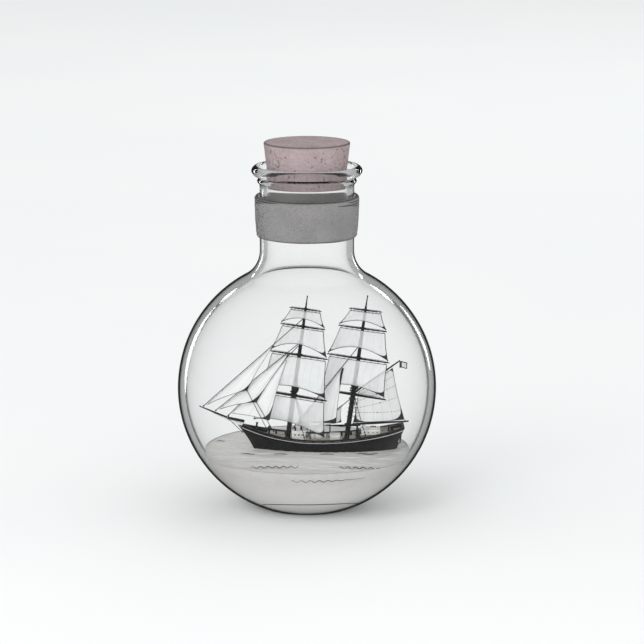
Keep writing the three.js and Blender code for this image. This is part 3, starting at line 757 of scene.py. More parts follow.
def flask():
    heel = math.asin((0.9 - BALL_Z) / BALL_R)
    outside = [(0, 1.3), (4, 1.27), (8, 1.15), (11, 0.9), (13.5, 0.62), (15.4, 0.34), (16.8, 0.1),
               (17.6, 0.01),
               (18.3, 0.0), (18.9, 0.1), (19.6, 0.4)]
    outside += arc((0, BALL_Z), BALL_R, heel, SHOULDER_ANGLE, 70)
    outside += arc(SHOULDER, SHOULDER_R, SHOULDER_ANGLE - math.pi, -math.pi, 18)[1:]
    outside += [(NECK_R, z) for z in (108, 112, 118, 124, 128, 131)]
    lip = [(NECK_R, 132.2), (19.5, 132.9), (20.1, 133.8), (19.8, 134.7), (19.4, 135.2), (20.1, 135.7),
           (21.5, 136.4),
           (22.4, 137.8), (22.1, 139.1), (21.1, 140.0), (20.3, 140.15), (19.65, 139.7), (19.35, 138.8),
           (19.2, 137.6),
           (18.9, 137.05), (18.1, 136.85), (17.0, 136.65), (16.4, 136.1)]
    outside += spline(lip, 5)
    inside = arc(SHOULDER, SHOULDER_R + WALL, -math.pi, SHOULDER_ANGLE - math.pi, 18)
    inside = [(NECK_R - WALL, z) for z in (134, 130, 126, 120, 114, 109)] + inside
    inside += arc((0, BALL_Z), BALL_R - WALL, SHOULDER_ANGLE, math.asin((4.2 - BALL_Z) / (BALL_R - WALL)),
                  66)[1:]
    inside += [(17.6, 3.3), (12, 3.25), (6, 3.2), (0, 3.2)]
    shape = Shape()
    shape.lathe(outside + inside, 176, shake=blown(0.16, 3))
    outer_count = len([1 for r, z in outside if r > 0]) * 176
    # The line mark sets where the glass's painted dark rim shows: the outer surface below z 131, and the
    # inner surface, weakened above z 84.
    lines = []
    for i, p in enumerate(shape.points):
        line = clamp((131 - p.z) / 2)
        if i >= outer_count:
            line *= 1 - 0.7 * clamp((p.z - 84) / 8)
        lines.append(line)
    piece("flask_glass", shape, GLASS, replaces=["glass_bottle"], sharp=180,
          marks={"line": lines})


flask()


def band():
    low, high = box_mm("neck_band")
    z0, z1 = low.z, high.z
    inner = NECK_R + 0.22
    section = []
    rows = 26
    for i in range(rows + 1):
        t = i / rows
        swell = 0.22 * math.sin(math.pi * t)
        crease = 0.14 * sum(math.exp(-((t * (z1 - z0) - at) / 0.28) ** 2) for at in (1.3, z1 - z0 - 1.3))
        edge = 0.45 * (1 - clamp(min(t, 1 - t) * (z1 - z0) / 0.7)) ** 2
        section.append((lerp(20.3, 21.1, t) + swell - crease - edge, lerp(z0, z1, t)))
    section += [(inner + 0.4, z1), (inner, z1 - 0.05), (inner, (z0 + z1) / 2), (inner, z0 + 0.05),
                (inner + 0.4, z0)]

    def shake(p):
        angle = math.atan2(p.y, p.x)
        wrap = 0.28 * clamp((angle - 1.2) / 0.05) * clamp((1.9 - angle) / 0.5)
        wave = 0.1 * noise.noise(Vector((p.x * 0.12, p.y * 0.12, p.z * 0.25)))
        out = Vector((p.x, p.y, 0))
        grow = (wave + wrap) if out.length > inner + 0.5 else 0
        lift = 0.16 * noise.noise(Vector((math.cos(angle), math.sin(angle), 0)) * 1.7 + Vector((5, 0, z0)))
        return p + out.normalized() * grow + Vector((0, 0, lift))

    shape = Shape()
    shape.ring(section, 200, shake=shake)
    edges = [clamp(1.5 - min(abs(p.z - z0), abs(p.z - z1)) / 0.42) for p in shape.points]
    # Painted shade: stipple strength by angle round the neck, strongest towards the left (192 degrees) and
    # right (349 degrees) sides.
    painted_side_shade = []
    for p in shape.points:
        turn = math.degrees(math.atan2(p.y, p.x)) % 360
        left, right = abs(turn - 192), min(abs(turn - 349), abs(turn + 11))
        painted_side_shade.append(max(clamp(1 - left / 46), 0.8 * clamp(1 - right / 28)))
    lined = [1.0 if math.hypot(p.x, p.y) < inner + 0.2 else 0.0 for p in shape.points]
    piece("neck_wrap", shape, LEATHER, replaces=["neck_band"], sharp=60,
          marks={"edge": edges, "shade_stipple": painted_side_shade, "lining": lined})
    # Raised folds near the band's top, left and right, in near-black cloth: the ridges are real, and their
    # near black is painted shade in the creases.
    folds = Shape()
    for start, end, drop, thick in ((184, 236, 0.55, 0.26), (186, 214, 1.5, 0.2), (322, 356, 0.9, 0.2),
                                    (306, 357, 1.9, 0.22), (330, 352, 2.8, 0.16)):
        path = []
        for i in range(25):
            turn = math.radians(lerp(start, end, i / 24))
            z = z1 - drop - 0.25 * math.sin(math.pi * i / 24)
            r = lerp(20.3, 21.1, (z - z0) / (z1 - z0)) + 0.13
            path.append(Vector((r * math.cos(turn), r * math.sin(turn), z)))
        folds.tube(path, lambda t: thick * math.sin(math.pi * clamp(t, 0.05, 0.95)) ** 0.6, 8)
    piece("neck_wrap_fold_shade", folds, SHADE_AND_TRIM_CLOTH)
    stitches = Shape()
    for k in range(12):
        z = lerp(z0 + 1.2, z1 - 1.2, k / 11)
        angle = 1.33
        r = lerp(20.3, 21.1, (z - z0) / (z1 - z0)) + 0.5
        tangent = Vector((-math.sin(angle), math.cos(angle), 0))
        at = Vector((r * math.cos(angle), r * math.sin(angle), z))
        out = Vector((math.cos(angle), math.sin(angle), 0))
        path = [at + UP * (0.5 * s) + out * (0.08 - 0.22 * s * s) + tangent * 0.05 * s
                for s in (-1, -0.6, -0.2, 0.2, 0.6, 1)]
        stitches.tube(path, 0.13, 8)
    piece("neck_wrap_stitches", stitches, ROPE)


band()


def cork():
    low, high = box_mm("cork_stopper")
    z0, z1 = low.z, high.z
    r0, r1 = 15.4, 17.4
    profile = [(r0 * k / 22, z0) for k in range(1, 22)]
    profile = [(0, z0)] + profile + [(r0 - 0.25, z0 + 0.05), (r0 - 0.05, z0 + 0.3)]
    rows = 64
    profile += [(lerp(r0, r1, i / rows), lerp(z0 + 0.6, z1 - 0.6, i / rows)) for i in range(rows + 1)]
    profile += [(r1 - 0.05, z1 - 0.4), (r1 - 0.12, z1 - 0.25), (r1 - 0.25, z1 - 0.1), (r1 - 0.42, z1 - 0.03)]
    profile += [(r1 - 0.6, z1)] + [(r1 * k / 40, z1) for k in range(38, 0, -1)] + [(0, z1)]
    dice = random.Random(3)
    pits = []
    while len(pits) < 330:
        turn = dice.uniform(0, 360)
        # Painted shade: pits are kept more often towards the left (196 degrees) and right (346 degrees)
        # sides.
        shaded = max(clamp(1.3 - abs(turn - 196) / 34),
                     0.8 * clamp(1.2 - min(abs(turn - 346), abs(turn + 14)) / 26))
        if dice.random() > 0.1 + 0.9 * shaded:
            continue
        angle = math.radians(turn)
        z = dice.uniform(z0 + 0.8, z1 - 0.9)
        r = lerp(r0, r1, (z - z0) / (z1 - z0))
        pits.append((Vector((r * math.cos(angle), r * math.sin(angle), z)), dice.uniform(0.16, 0.42),
                     dice.uniform(0.14, 0.26),
                     Vector((-math.sin(angle), math.cos(angle), dice.uniform(-0.6, 0.6)))))
    for _ in range(60):
        angle, r = dice.uniform(-math.pi, math.pi), r1 * math.sqrt(dice.uniform(0, 0.93))
        pits.append((Vector((r * math.cos(angle), r * math.sin(angle), z1)), dice.uniform(0.2, 0.8),
                     dice.uniform(0.14, 0.24), Vector((1, dice.uniform(-0.25, 0.25), 0))))
    shape = Shape()
    shape.lathe(profile, 300)
    marks = []
    for i, p in enumerate(shape.points):
        out = Vector((p.x, p.y, 0))
        on_top = p.z > z1 - 0.02 and out.length < r1 - 0.3
        normal = UP if on_top or out.length <= 1 else out.normalized()
        depth = 0.0
        for at, length, width, along in pits:
            d = p - at
            if abs(d.x) < 2.2 and abs(d.y) < 2.2 and abs(d.z) < 2.2:
                s = d.dot(along.normalized())
                across = math.sqrt(max(0, d.length_squared - s * s))
                depth = max(depth, math.exp(-(s / length) ** 4 - (across / width) ** 2))
        rough = noise.noise(p * 0.9) * 0.07 + noise.noise(p * 0.22) * 0.06
        if p.z > z0 + 0.1:
            shape.points[i] = p + normal * (rough - 0.3 * depth)
        # A darker ring along the rounded top edge joins the same mark.
        arris = clamp(1.25 - abs(p.z - (z1 - 0.25)) / 0.34) * clamp((out.length - r1 + 1.0) / 0.4)
        marks.append(max(clamp(depth * 1.2 - 0.1), 0.85 * arris))
    piece("cork_body", shape, CORK_WOOD, CORK, ["cork_stopper"], sharp=70, marks={"pits_and_painted_shade": marks})


cork()

# ---- Hull lines ----

SEA_Z = 23.1
HULL_LOW_Z = box_mm("hull")[0].z
STEM_X, STERN_X = box_mm("hull")[0].x, box_mm("hull")[1].x
STEM_WATER_X, STERN_WATER_X = -21.2, 35.9
DECK_DROP, BULWARK_T = 1.7, 0.7
deck_half = reading([(0, 0.5), (0.05, 2.2), (0.12, 4.3), (0.22, 6.3), (0.36, 7.7), (0.52, 8), (0.72, 7.7),
                     (0.86, 6.9), (0.95, 5.5), (1, 3.9)])
water_half = reading([(0, 0.45), (0.08, 2), (0.2, 4.6), (0.36, 6.7), (0.55, 7.2), (0.75, 6.4), (0.9, 4.2),
                      (1, 1.8)])


def sheer(x):
    return 27.6 + (0.0053 if x < 5 else 0.0041) * (x - 5) ** 2


def deck_top(x):
    return sheer(x) - DECK_DROP + 0.8


def side(u, rise, out=0.0):
    """A point of the hull's starboard side, from stem to stern and from the water to the rail."""
    rail_x = lerp(STEM_X, STERN_X, u)
    x = lerp(lerp(STEM_WATER_X, STERN_WATER_X, u), rail_x, rise ** 1.15)
    y = lerp(water_half(u), deck_half(u), rise ** 0.6)
    return Vector((x, y + out, lerp(SEA_Z, sheer(rail_x), rise)))


def stations(count):
    return [(1 - math.cos(math.pi * i / count)) / 2 for i in range(count + 1)]


def mirrored(p):
    return Vector((p.x, -p.y, p.z))


def hull():
    sections = []
    rises = [0.0, 0.04, 0.12, 0.22, 0.32, 0.42, 0.52, 0.6, 0.68, 0.74, 0.76, 0.82, 0.84, 0.9, 0.96, 1.0]
    for u in stations(70):
        foot, rail = side(u, 0), side(u, 1)
        inner = max(0.1, rail.y - BULWARK_T)
        inner_x = lerp(STEM_X + BULWARK_T, STERN_X - BULWARK_T, u)
        half = [Vector((foot.x, foot.y, HULL_LOW_Z))]
        half += [side(u, r, 0.16 if 0.75 < r < 0.83 else 0) for r in rises]
        half += [Vector((inner_x, inner, rail.z)), Vector((inner_x, inner, rail.z - DECK_DROP))]
        sections.append(half + [mirrored(p) for p in reversed(half)])
    shape = Shape()
    shape.loft(sections)
    piece("hull_body", shape, HULL_PAINT, replaces=["hull"], sharp=32)

    line = Shape()
    for hand in (1, -1):
        rows = []
        for u in stations(70)[1:]:
            ring = [side(u, 0.895, -0.1), side(u, 0.895, 0.1), side(u, 0.94, 0.1), side(u, 0.94, -0.1)]
            rows.append([Vector((p.x, p.y * hand, p.z)) for p in ring])
        line.capped(rows, [0, 1, 2, 3, 4], [r[0].x for r in rows])
    piece("sheer_line", line, GREY_LINE)

    stem = Shape()
    stem.box((lerp(-20.9, -21.9, 0.5), 0, lerp(19.8, 23.4, 0.5)), (1.0, 0.9, 23.4 - 19.8))
    blade = []
    for i in range(15):
        r = i / 14
        p = side(0, r)
        grow = 0.55 + 0.75 * r ** 3
        blade.append([Vector((p.x + 0.4, -0.3, p.z)), Vector((p.x - grow, -0.2, p.z + 0.3 * r)),
                      Vector((p.x - grow, 0.2, p.z + 0.3 * r)), Vector((p.x + 0.4, 0.3, p.z))])
    stem.capped(blade, [0, 1, 2, 3, 4], range(15))
    rudder_top = side(1, 0.55)
    stem.box((36.7, 0, 24.2), (1.1, 0.55, 3.4), Matrix.Rotation(math.radians(20), 3, "Y"))
    stem.rod((rudder_top.x + 0.3, 0, 25.2), (38.6, 0, 29.2), 0.3, 0.3, sides=12)
    piece("stem_and_rudder", stem, BLACK, bevel=0.08)


hull()


def rail():
    """The rail cap, as one ring round the ship, with stanchions and light panels inside the bulwark."""
    rows = []
    us = [lerp(0.012, 0.998, t) for t in stations(60)]
    outline = [(u, 1) for u in us] + [(u, -1) for u in reversed(us)]
    for u, hand in outline:
        x = lerp(STEM_X, STERN_X, u)
        outer = deck_half(u) + 0.25
        inner = max(0.12, deck_half(u) - BULWARK_T - 0.3)
        inner_x = lerp(STEM_X + 1.9, STERN_X - 1.0, (u - 0.012) / 0.986)
        z = sheer(x)
        rows.append([Vector((x, hand * outer, z + 0.32)), Vector((x, hand * (outer + 0.06), z + 0.56)),
                     Vector((x, hand * outer, z + 0.8)),
                     Vector((inner_x, hand * inner, sheer(inner_x) + 0.8)),
                     Vector((inner_x, hand * inner, sheer(inner_x) + 0.32))])
    cap = Shape()
    start = len(cap.points)
    count = 5
    for row in rows:
        cap.points += row
    total = len(rows)
    for i in range(total):
        n = (i + 1) % total
        for j in range(count):
            k = (j + 1) % count
            corners = [start + i * count + j, start + i * count + k, start + n * count + k,
                       start + n * count + j]
            cap.faces.append((corners, [(j, i), (j + 1, i), (j + 1, i + 1), (j, i + 1)]))
    piece("rail_cap_body", cap, BLACK, replaces=["rail_cap"], sharp=50)

    posts, panels = Shape(), Shape()
    spots = [lerp(0.1, 0.965, i / 15) for i in range(16)]
    for hand in (1, -1):
        for u in spots:
            x = lerp(STEM_X, STERN_X, u)
            y = hand * (deck_half(u) - BULWARK_T - 0.2)
            posts.box((x, y, sheer(x) - 0.3), (0.42, 0.34, 1.2))
        for a, b in zip(spots, spots[1:]):
            rows = []
            for i in range(7):
                u = lerp(a + 0.006, b - 0.006, i / 6)
                x = lerp(STEM_X, STERN_X, u)
                y = deck_half(u) - BULWARK_T
                low, high = sheer(x) - DECK_DROP + 0.45, sheer(x) + 0.05
                ring = [(y - 0.02, low), (y - 0.02, high), (y - 0.16, high), (y - 0.16, low)]
                rows.append([Vector((x, hand * yy, z)) for yy, z in ring])
            panels.capped(rows, [0, 1, 2, 3, 4], [r[0].x for r in rows])
    piece("bulwark_posts", posts, BLACK, bevel=0.05)
    piece("bulwark_panels", panels, WHITE)


rail()
deck_node = frame["nodes"]["deck"]
deck_node.data.materials.clear()
deck_node.data.materials.append(DECK_WOOD)
for pin in ("fore_hinge_pin", "main_hinge_pin"):
    node = frame["nodes"][pin]
    node.data.materials.clear()
    node.data.materials.append(WIRE)


# ---- Sea ----

def sea():
    inner_r = BALL_R - WALL + 0.06
    top_r = math.sqrt(inner_r ** 2 - (SEA_Z - BALL_Z) ** 2)
    middle_x = (STEM_WATER_X + STERN_WATER_X) / 2
    half_x = (STERN_WATER_X - STEM_WATER_X) / 2
    around, out = 520, 64

    def hull_edge(turn):
        u = (1 + math.cos(turn)) / 2
        pinch = clamp(abs(math.sin(turn)) / 0.14)
        y = (water_half(u) + 0.06) * pinch * (1 if math.sin(turn) >= 0 else -1)
        return Vector((middle_x + (half_x + 0.1) * math.cos(turn), y, 0))

    def ripple(p, t):
        far = clamp(t * 5) * clamp((1 - t) * 9)
        swell = 0.20 * math.sin(0.62 * p.y + 1.3 * noise.noise(p * 0.09) + 0.12 * p.x)
        chop = 0.26 * noise.noise(Vector((p.x * 0.2, p.y * 0.55,
                                          3))) + 0.12 * noise.noise(Vector((p.x * 0.6, p.y * 1.4, 9)))
        wash = 0.34 * math.exp(-(t * 16) ** 1.3) * (1 + 0.6 * noise.noise(p * 0.7))
        creep = 0.30 * math.exp(-((1 - t) * 26))
        return (swell * 0.6 + chop) * far + wash + creep

    rings, crests = [], []
    for i in range(out + 1):
        t = (i / out) ** 1.15
        ring = []
        for j in range(around):
            turn = 2 * math.pi * j / around
            outer = Vector((top_r * math.cos(turn), top_r * math.sin(turn), 0))
            p = hull_edge(turn).lerp(outer, t)
            lift = ripple(p, t)
            foam = 0.55 * clamp(1 - t * 22) * clamp(0.5 + 1.2 * noise.noise(p * 0.8))
            ring.append(Vector((p.x, p.y, SEA_Z + lift)))
            crests.append(foam)
        rings.append(ring)
    shape = Shape()
    low = 3.12
    wall_rows = 26
    for i in range(1, wall_rows + 1):
        z = lerp(SEA_Z - 0.1, low, i / wall_rows)
        r = math.sqrt(inner_r ** 2 - (z - BALL_Z) ** 2)
        r = min(r, 18.4) if z < 3.3 else r
        rings.append([Vector((r * math.cos(2 * math.pi * j / around),
                              r * math.sin(2 * math.pi * j / around), z))
                      for j in range(around)])
    pocket = []
    for z in (HULL_LOW_Z - 0.25, HULL_LOW_Z + 1.5):
        pocket.append([hull_edge(2 * math.pi * j / around) + Vector((0, 0, z)) for j in range(around)])
    rings = pocket + rings
    shape.capped(rings, [0.8 * j for j in range(around + 1)], [0.6 * i for i in range(len(rings))])
    marks = [0.0] * (2 * around) + crests + [0.0] * (len(shape.points) - 2 * around - len(crests))
    piece("sea_body", shape, PUTTY, replaces=["sea"], sharp=60, marks={"crest": marks})

    strokes = Shape()

    def wall_point(x, z):
        return Vector((x, -math.sqrt(max(0, (inner_r - 0.02) ** 2 - x * x - (z - BALL_Z) ** 2)), z))

    def stroke(x0, x1, y, z, wave, radius, wave_count):
        steps = 72
        path = []
        for i in range(steps + 1):
            t = i / steps
            x = lerp(x0, x1, t)
            w = wave * math.sin(2 * math.pi * wave_count * t + 0.6) * (0.7 + 0.5 * math.sin(5 * t + x0))
            if y is None:
                path.append(wall_point(x, z + w * 0.35))
            else:
                lift = 0.14 if wave_count < 2 else 0.32
                path.append(Vector((x, y + 0.3 * w,
                                    SEA_Z + 0.3 + lift * math.sin(2 * math.pi * wave_count * t))))
        strokes.tube(path, lambda t: radius * (0.25 + 0.75 * math.sin(math.pi * clamp(t, 0.04,
                                                                                      0.96)) ** 0.5), 8)

    # Painted shade: dark ripple strokes on the sea's top, and one wave line on its front wall.
    stroke(-27, -21.2, -9.6, 0, 0.25, 0.16, 0.7)
    stroke(-13.5, -7.9, -10.2, 0, 0.2, 0.14, 0.6)
    stroke(5.2, 11.0, -10.6, 0, 0.2, 0.14, 0.5)
    stroke(20.2, 28.6, -9.4, 0, 0.35, 0.18, 1.2)
    stroke(31, 37.5, 6.0, 0, 0.3, 0.14, 0.6)
    stroke(-38, -34.5, 12.0, 0, 0.3, 0.14, 0.6)
    stroke(-22.0, -3.2, -31.2, 0, 1.0, 0.17, 6.2)
    stroke(12.6, 28.4, -32.0, 0, 1.1, 0.18, 5.4)
    stroke(-6.0, 22.6, None, 20.1, 1.1, 0.17, 8.3)
    shore = []
    for i in range(121):
        turn = math.radians(lerp(4, 176, i / 120))
        shore.append(Vector(((top_r - 0.35) * math.cos(turn), (top_r - 0.35) * math.sin(turn), SEA_Z + 0.2)))
    strokes.tube(shore, lambda t: 0.14 * math.sin(math.pi * clamp(t, 0.03, 0.97)) ** 0.4, 8)
    # Painted: a dark line low on the putty's front, standing in for the edge of the flask's flat base seen
    # through the glass.
    painted_base_edge = []
    for i in range(61):
        turn = lerp(-1.0, 1.0, i / 60)
        x = 1.4 + 19.0 * math.sin(turn * math.pi / 2)
        z = lerp(3.6, 8.4, math.cos(turn * math.pi / 2) ** 0.35)
        y = -math.sqrt(max(0.5, (inner_r + 0.04) ** 2 - x * x - (z - BALL_Z) ** 2))
        painted_base_edge.append(Vector((x, y, z)))
    strokes.tube(painted_base_edge, lambda t: 0.3 * math.sin(math.pi * clamp(t, 0.04, 0.96)) ** 0.4, 8)
    piece("sea_dark_lines", strokes, SHADE_AND_TRIM_CLOTH)


sea()

# ---- Masts ----

FOOT = {}
for joint in frame["joints"]:
    if joint["name"] in ("fore_yards_brace", "main_yards_brace"):
        FOOT[joint["child"]] = (Vector(joint["pos_m"]) / MM, -Vector(joint["axis"]).normalized())

MAST_R = [(0, 1.05), (20, 0.95), (24, 0.9), (40, 0.72), (50, 0.58), (55.5, 0.46), (56.5, 0.28), (60.5, 0.2),
          (62, 0.17)]


class Mast:
    def __init__(self, body):
        self.foot, self.along = FOOT[body]

    def at(self, z):
        return self.foot + self.along * ((z - self.foot.z) / self.along.z)

    def radius(self, z):
        s = (z - self.foot.z) / self.along.z
        for (h0, r0), (h1, r1) in zip(MAST_R, MAST_R[1:]):
            if s <= h1:
                return lerp(r0, r1, clamp((s - h0) / (h1 - h0)))
        return MAST_R[-1][1]

    def stick(self, shape, low, high, extra=0.0, sides=20):
        steps = max(6, int((high - low) / 0.8))
        path = [self.at(lerp(low, high, i / steps)) for i in range(steps + 1)]
        return shape.tube(path, lambda t: self.radius(lerp(low, high, t)) + extra, sides)

    def hoop(self, shape, z, height=0.35, extra=0.14):
        return shape.lathe([(0, 0), (self.radius(z) + extra * 0.6, 0),
                            (self.radius(z) + extra, height * 0.25),
                            (self.radius(z) + extra, height * 0.75), (self.radius(z) + extra * 0.6, height),
                            (0, height)],
                           24, self.at(z), self.along)


fore_mast, main_mast = Mast(FORE), Mast(MAIN)

for name, mast in (("fore", fore_mast), ("main", main_mast)):
    low = box_mm(name + "_lower_mast")[0].z + 0.15
    lower = Shape()
    mast.stick(lower, low, 50, 0, 24)
    for z in (32.2, 35.9, 39.6, 43.1, 46.2):
        if not (name == "main" and z < 36) and not (name == "fore" and z < 33):
            mast.hoop(lower, z, 0.3, 0.1)
    lower.lathe([(0, 0), (1.75, 0), (1.75, 0.35), (1.25, 0.75), (0, 0.75)], 24, mast.at(low), mast.along)
    piece(name + "_lower_mast_body", lower, SPAR, replaces=[name + "_lower_mast"], sharp=50)
    top = Shape()
    mast.stick(top, 50.15, box_mm(name + "_topmast")[1].z, 0, 20)
    for z in (50.2, 56.5, 66.2, 71.5, 79.4, 83.1):
        mast.hoop(top, z, 0.3, 0.12)
    top.ball(mast.at(box_mm(name + "_topmast")[1].z - 0.1), 0.34, 14, 0.8)
    piece(name + "_topmast_body", top, SPAR, replaces=[name + "_topmast"], sharp=50)


def mast_top(node, mast):
    low, high = (v.z for v in box_mm(node))
    turn = UP.rotation_difference(mast.along).to_matrix()
    base = mast.at(low + 0.3)
    height = high - low - 0.5
    shape = Shape()
    rim = [(0, 0), (1.3, 0), (1.45, 0.25), (1.6, height - 0.5), (1.72, height - 0.42), (1.72, height - 0.12),
           (1.6, height), (1.35, height), (1.28, height - 0.4), (0, height - 0.4)]
    shape.lathe(rim, 30, base + mast.along * 0.05 + Vector((0.25, 0, 0)), mast.along)
    for y in (-0.75, 0.75):
        shape.box(base + turn @ Vector((-0.1, y, -0.15)), (3.0, 0.32, 0.34), turn)
    for x in (-1.0, 1.0):
        shape.box(base + turn @ Vector((x + 0.2, 0, 0.16)), (0.3, 4.2, 0.28), turn)
    shape.box(base + turn @ Vector((0.1, 0, height + 0.15)), (2.3, 1.9, 0.3), turn)
    piece(node + "_body", shape, SPAR, replaces=[node], sharp=40, bevel=0.06)


mast_top("fore_top", fore_mast)
mast_top("main_top", main_mast)


# ---- Yards and square sails ----

BRACE = math.radians(38)
YARD_LINE = Vector((math.cos(BRACE), -math.sin(BRACE), 0))
AHEAD = Vector((-math.sin(BRACE), -math.cos(BRACE), 0))
YARD_R = {"royal": 0.36, "topgallant": 0.42, "topsail": 0.48, "lower": 0.6}
SLIM = 0.8
SAIL_T = 0.2


class Yard:
    def __init__(self, node, mast, body):
        self.node, self.mast, self.body = node, mast, body
        self.radius = YARD_R[node.split("_")[1]]
        low, high = box_mm(node)
        self.centre = (low + high) / 2
        self.length = (high.x - low.x - 1.1 * self.radius * math.sin(BRACE)) / math.cos(BRACE)

    def arm(self, share, drop=0.0):
        return self.centre + YARD_LINE * (share * self.length / 2) - UP * drop

    def build(self):
        r = self.radius * SLIM
        shape = Shape()
        steps = 48
        path = [self.arm(lerp(-1, 1, i / steps)) for i in range(steps + 1)]
        shape.tube(path, lambda t: r * (1 - 0.45 * abs(2 * t - 1) ** 2.2), 18)
        for share in (-0.9, -0.55, -0.12, 0.12, 0.55, 0.9):
            at = self.arm(share)
            size = r * (1 - 0.45 * abs(share) ** 2.2) + 0.07
            shape.lathe([(0, -0.16), (size - 0.04, -0.16), (size, -0.1), (size, 0.1), (size - 0.04, 0.16),
                         (0, 0.16)],
                        18, at, YARD_LINE)
        z = self.centre.z
        shape.torus(self.mast.at(z), self.mast.along, self.mast.radius(z) + 0.3 + 0.2, 0.2, 30, 10)
        sling = (self.centre - self.mast.at(z)).dot(YARD_LINE)
        shape.rod(self.mast.at(z) + AHEAD * (self.mast.radius(z) + 0.4), self.arm(-2 * sling / self.length),
                  0.24, 0.26, sides=12)
        shape.rod(self.arm(-0.86, -(r + 0.16)), self.arm(0.86, -(r + 0.16)), 0.07, sides=6)
        for k in range(9):
            share = lerp(-0.84, 0.84, k / 8)
            shape.rod(self.arm(share, -r * 0.4), self.arm(share, -(r + 0.2)), 0.06, sides=6, steps=2)
        piece(self.node + "_body", shape, SPAR, self.body, [self.node], sharp=50)


yards = {}
for body, mast, prefix in ((FORE, fore_mast, "fore_"), (MAIN, main_mast, "main_")):
    for kind in YARD_R:
        yard = Yard(prefix + kind + "_yard", mast, body)
        yards[prefix + kind] = yard
        yard.build()

ropes = {BOTTLE: Shape(), FORE: Shape(), MAIN: Shape(), SPANKER: Shape()}
# patches collects the sails' painted corner shade in dark cloth; the spanker gear's also takes the ensign's
# dark trim.
patches = {BOTTLE: Shape(), FORE: Shape(), MAIN: Shape(), SPANKER: Shape()}
ties = {BOTTLE: Shape(), FORE: Shape(), MAIN: Shape(), SPANKER: Shape()}


def bolt_rope(shape, surface, a_steps=26, b_steps=22, radius=0.15):
    """The rope sewn round a sail's edge."""
    path = [surface(i / a_steps, 0) for i in range(a_steps)]
    path += [surface(1, j / b_steps) for j in range(b_steps)]
    path += [surface(i / a_steps, 1) for i in range(a_steps, 0, -1)]
    path += [surface(0, j / b_steps) for j in range(b_steps, 0, -1)]
    clean = [path[0]]
    for p in path[1:]:
        if (p - clean[-1]).length > 0.08:
            clean.append(p)
    shape.tube(clean, radius, 8, closed=True)


def painted_corner_shade(shape, surface, corner, along_a, along_b, thick=0.34, curl=2.0):
    """A dark sheet in a sail's corner, hollow on its inner side: painted shade in the corner. along_a and
    along_b are its reach along the two edges, as shares of the surface's a and b."""
    ca, cb = corner
    steps, rows = 14, 5
    sa, sb = (1 if ca < 0.5 else -1), (1 if cb < 0.5 else -1)
    front, rear = [], []
    step = 1e-3
    for k in range(rows + 1):
        for i in range(steps + 1):
            t = i / steps
            a = ca + sa * along_a * (1 - t) ** curl * k / rows
            b = cb + sb * along_b * t ** curl * k / rows
            p = surface(a, b)
            u = surface(clamp(a + step), b) - surface(clamp(a - step), b)
            v = surface(a, clamp(b + step)) - surface(a, clamp(b - step))
            n = u.cross(v)
            n = n.normalized() if n.length > 1e-12 else UP
            front.append(p + n * thick / 2)
            rear.append(p - n * thick / 2)
    base = len(shape.points)
    row = steps + 1
    size = row * (rows + 1)
    shape.points += front + rear

    def uv(k):
        return (k % row) * 0.3, (k // row) * 0.3

    def face(*corners):
        shape.faces.append(([base + c for c in corners], [uv(c % size) for c in corners]))

    for k in range(1, rows):
        for i in range(steps):
            q = k * row + i
            face(q, q + 1, q + row + 1, q + row)
            face(size + q, size + q + row, size + q + row + 1, size + q + 1)
    for i in range(steps):
        q = row + i
        face(0, q + 1, q)
        face(size, size + q, size + q + 1)
    edge = [rows * row + i for i in range(steps + 1)]
    sides = [k * row for k in range(1, rows + 1)]
    rim = [0] + sides[:-1] + edge + [k * row + steps for k in range(rows - 1, 0, -1)]
    for n, q in enumerate(rim):
        m = rim[(n + 1) % len(rim)]
        face(q, m, size + m, size + q)


def square_sail(name, yard, port_clew, starboard_clew, arch, belly, look, shade_reach):
    drop = yard.radius + 0.4

    def surface(a, b):
        s = 2 * a - 1
        head = yard.arm(s * 0.93, drop)
        foot = starboard_clew.lerp(port_clew, a)
        p = head.lerp(foot, b)
        p.z += arch * (1 - s * s) * b * b
        inward = 0.35 * math.sin(math.pi * b) * s
        fill = belly * max(0.0, 1 - s * s) ** 0.8 * math.sin(math.pi * min(1.0, 0.06 + 0.8 * b))
        slack = 0.10 * math.sin(9.4 * a + 2.2 * b + len(name)) * math.sin(math.pi * a) * math.sin(math.pi * b)
        return p - YARD_LINE * inward + AHEAD * (fill + slack)

    shape = Shape()
    shape.sheet(surface, 44, 32, SAIL_T)
    piece(name + "_cloth", shape, look, yard.body, [name], sharp=60)
    bolt_rope(ropes[yard.body], surface)
    # Painted shade: dark sheets in both lower corners.
    painted_corner_shade(patches[yard.body], surface, (0, 1), shade_reach[0], shade_reach[1])
    painted_corner_shade(patches[yard.body], surface, (1, 1), shade_reach[2], shade_reach[3])
    for k in range(9):
        a = lerp(0.03, 0.97, k / 8)
        at = yard.arm((2 * a - 1) * 0.93)
        size = yard.radius * (1 - 0.45 * abs(2 * a - 1) ** 2.2) + 0.1
        path = []
        for i in range(16):
            turn = 2 * math.pi * i / 16
            low = 0.48 if math.sin(turn) < -0.5 else 0
            path.append(at + AHEAD * size * math.cos(turn) + UP * (size * math.sin(turn) - low))
        ties[yard.body].tube(path, 0.07, 6, closed=True)
    for clew in (port_clew, starboard_clew):
        ties[yard.body].ball(clew + UP * 0.05, 0.28, 12)
    return surface


def sheeted(name, upper, lower, arch, belly, look, shade_reach):
    rise = lower.radius + 0.45
    clews = lower.arm(0.95, -rise), lower.arm(-0.95, -rise)
    surface = square_sail(name, upper, *clews, arch, belly, look, shade_reach)
    for share, clew in ((0.95, clews[0]), (-0.95, clews[1])):
        ties[upper.body].rope(clew, lower.arm(share, -lower.radius * 0.5), 0.12)
    return surface


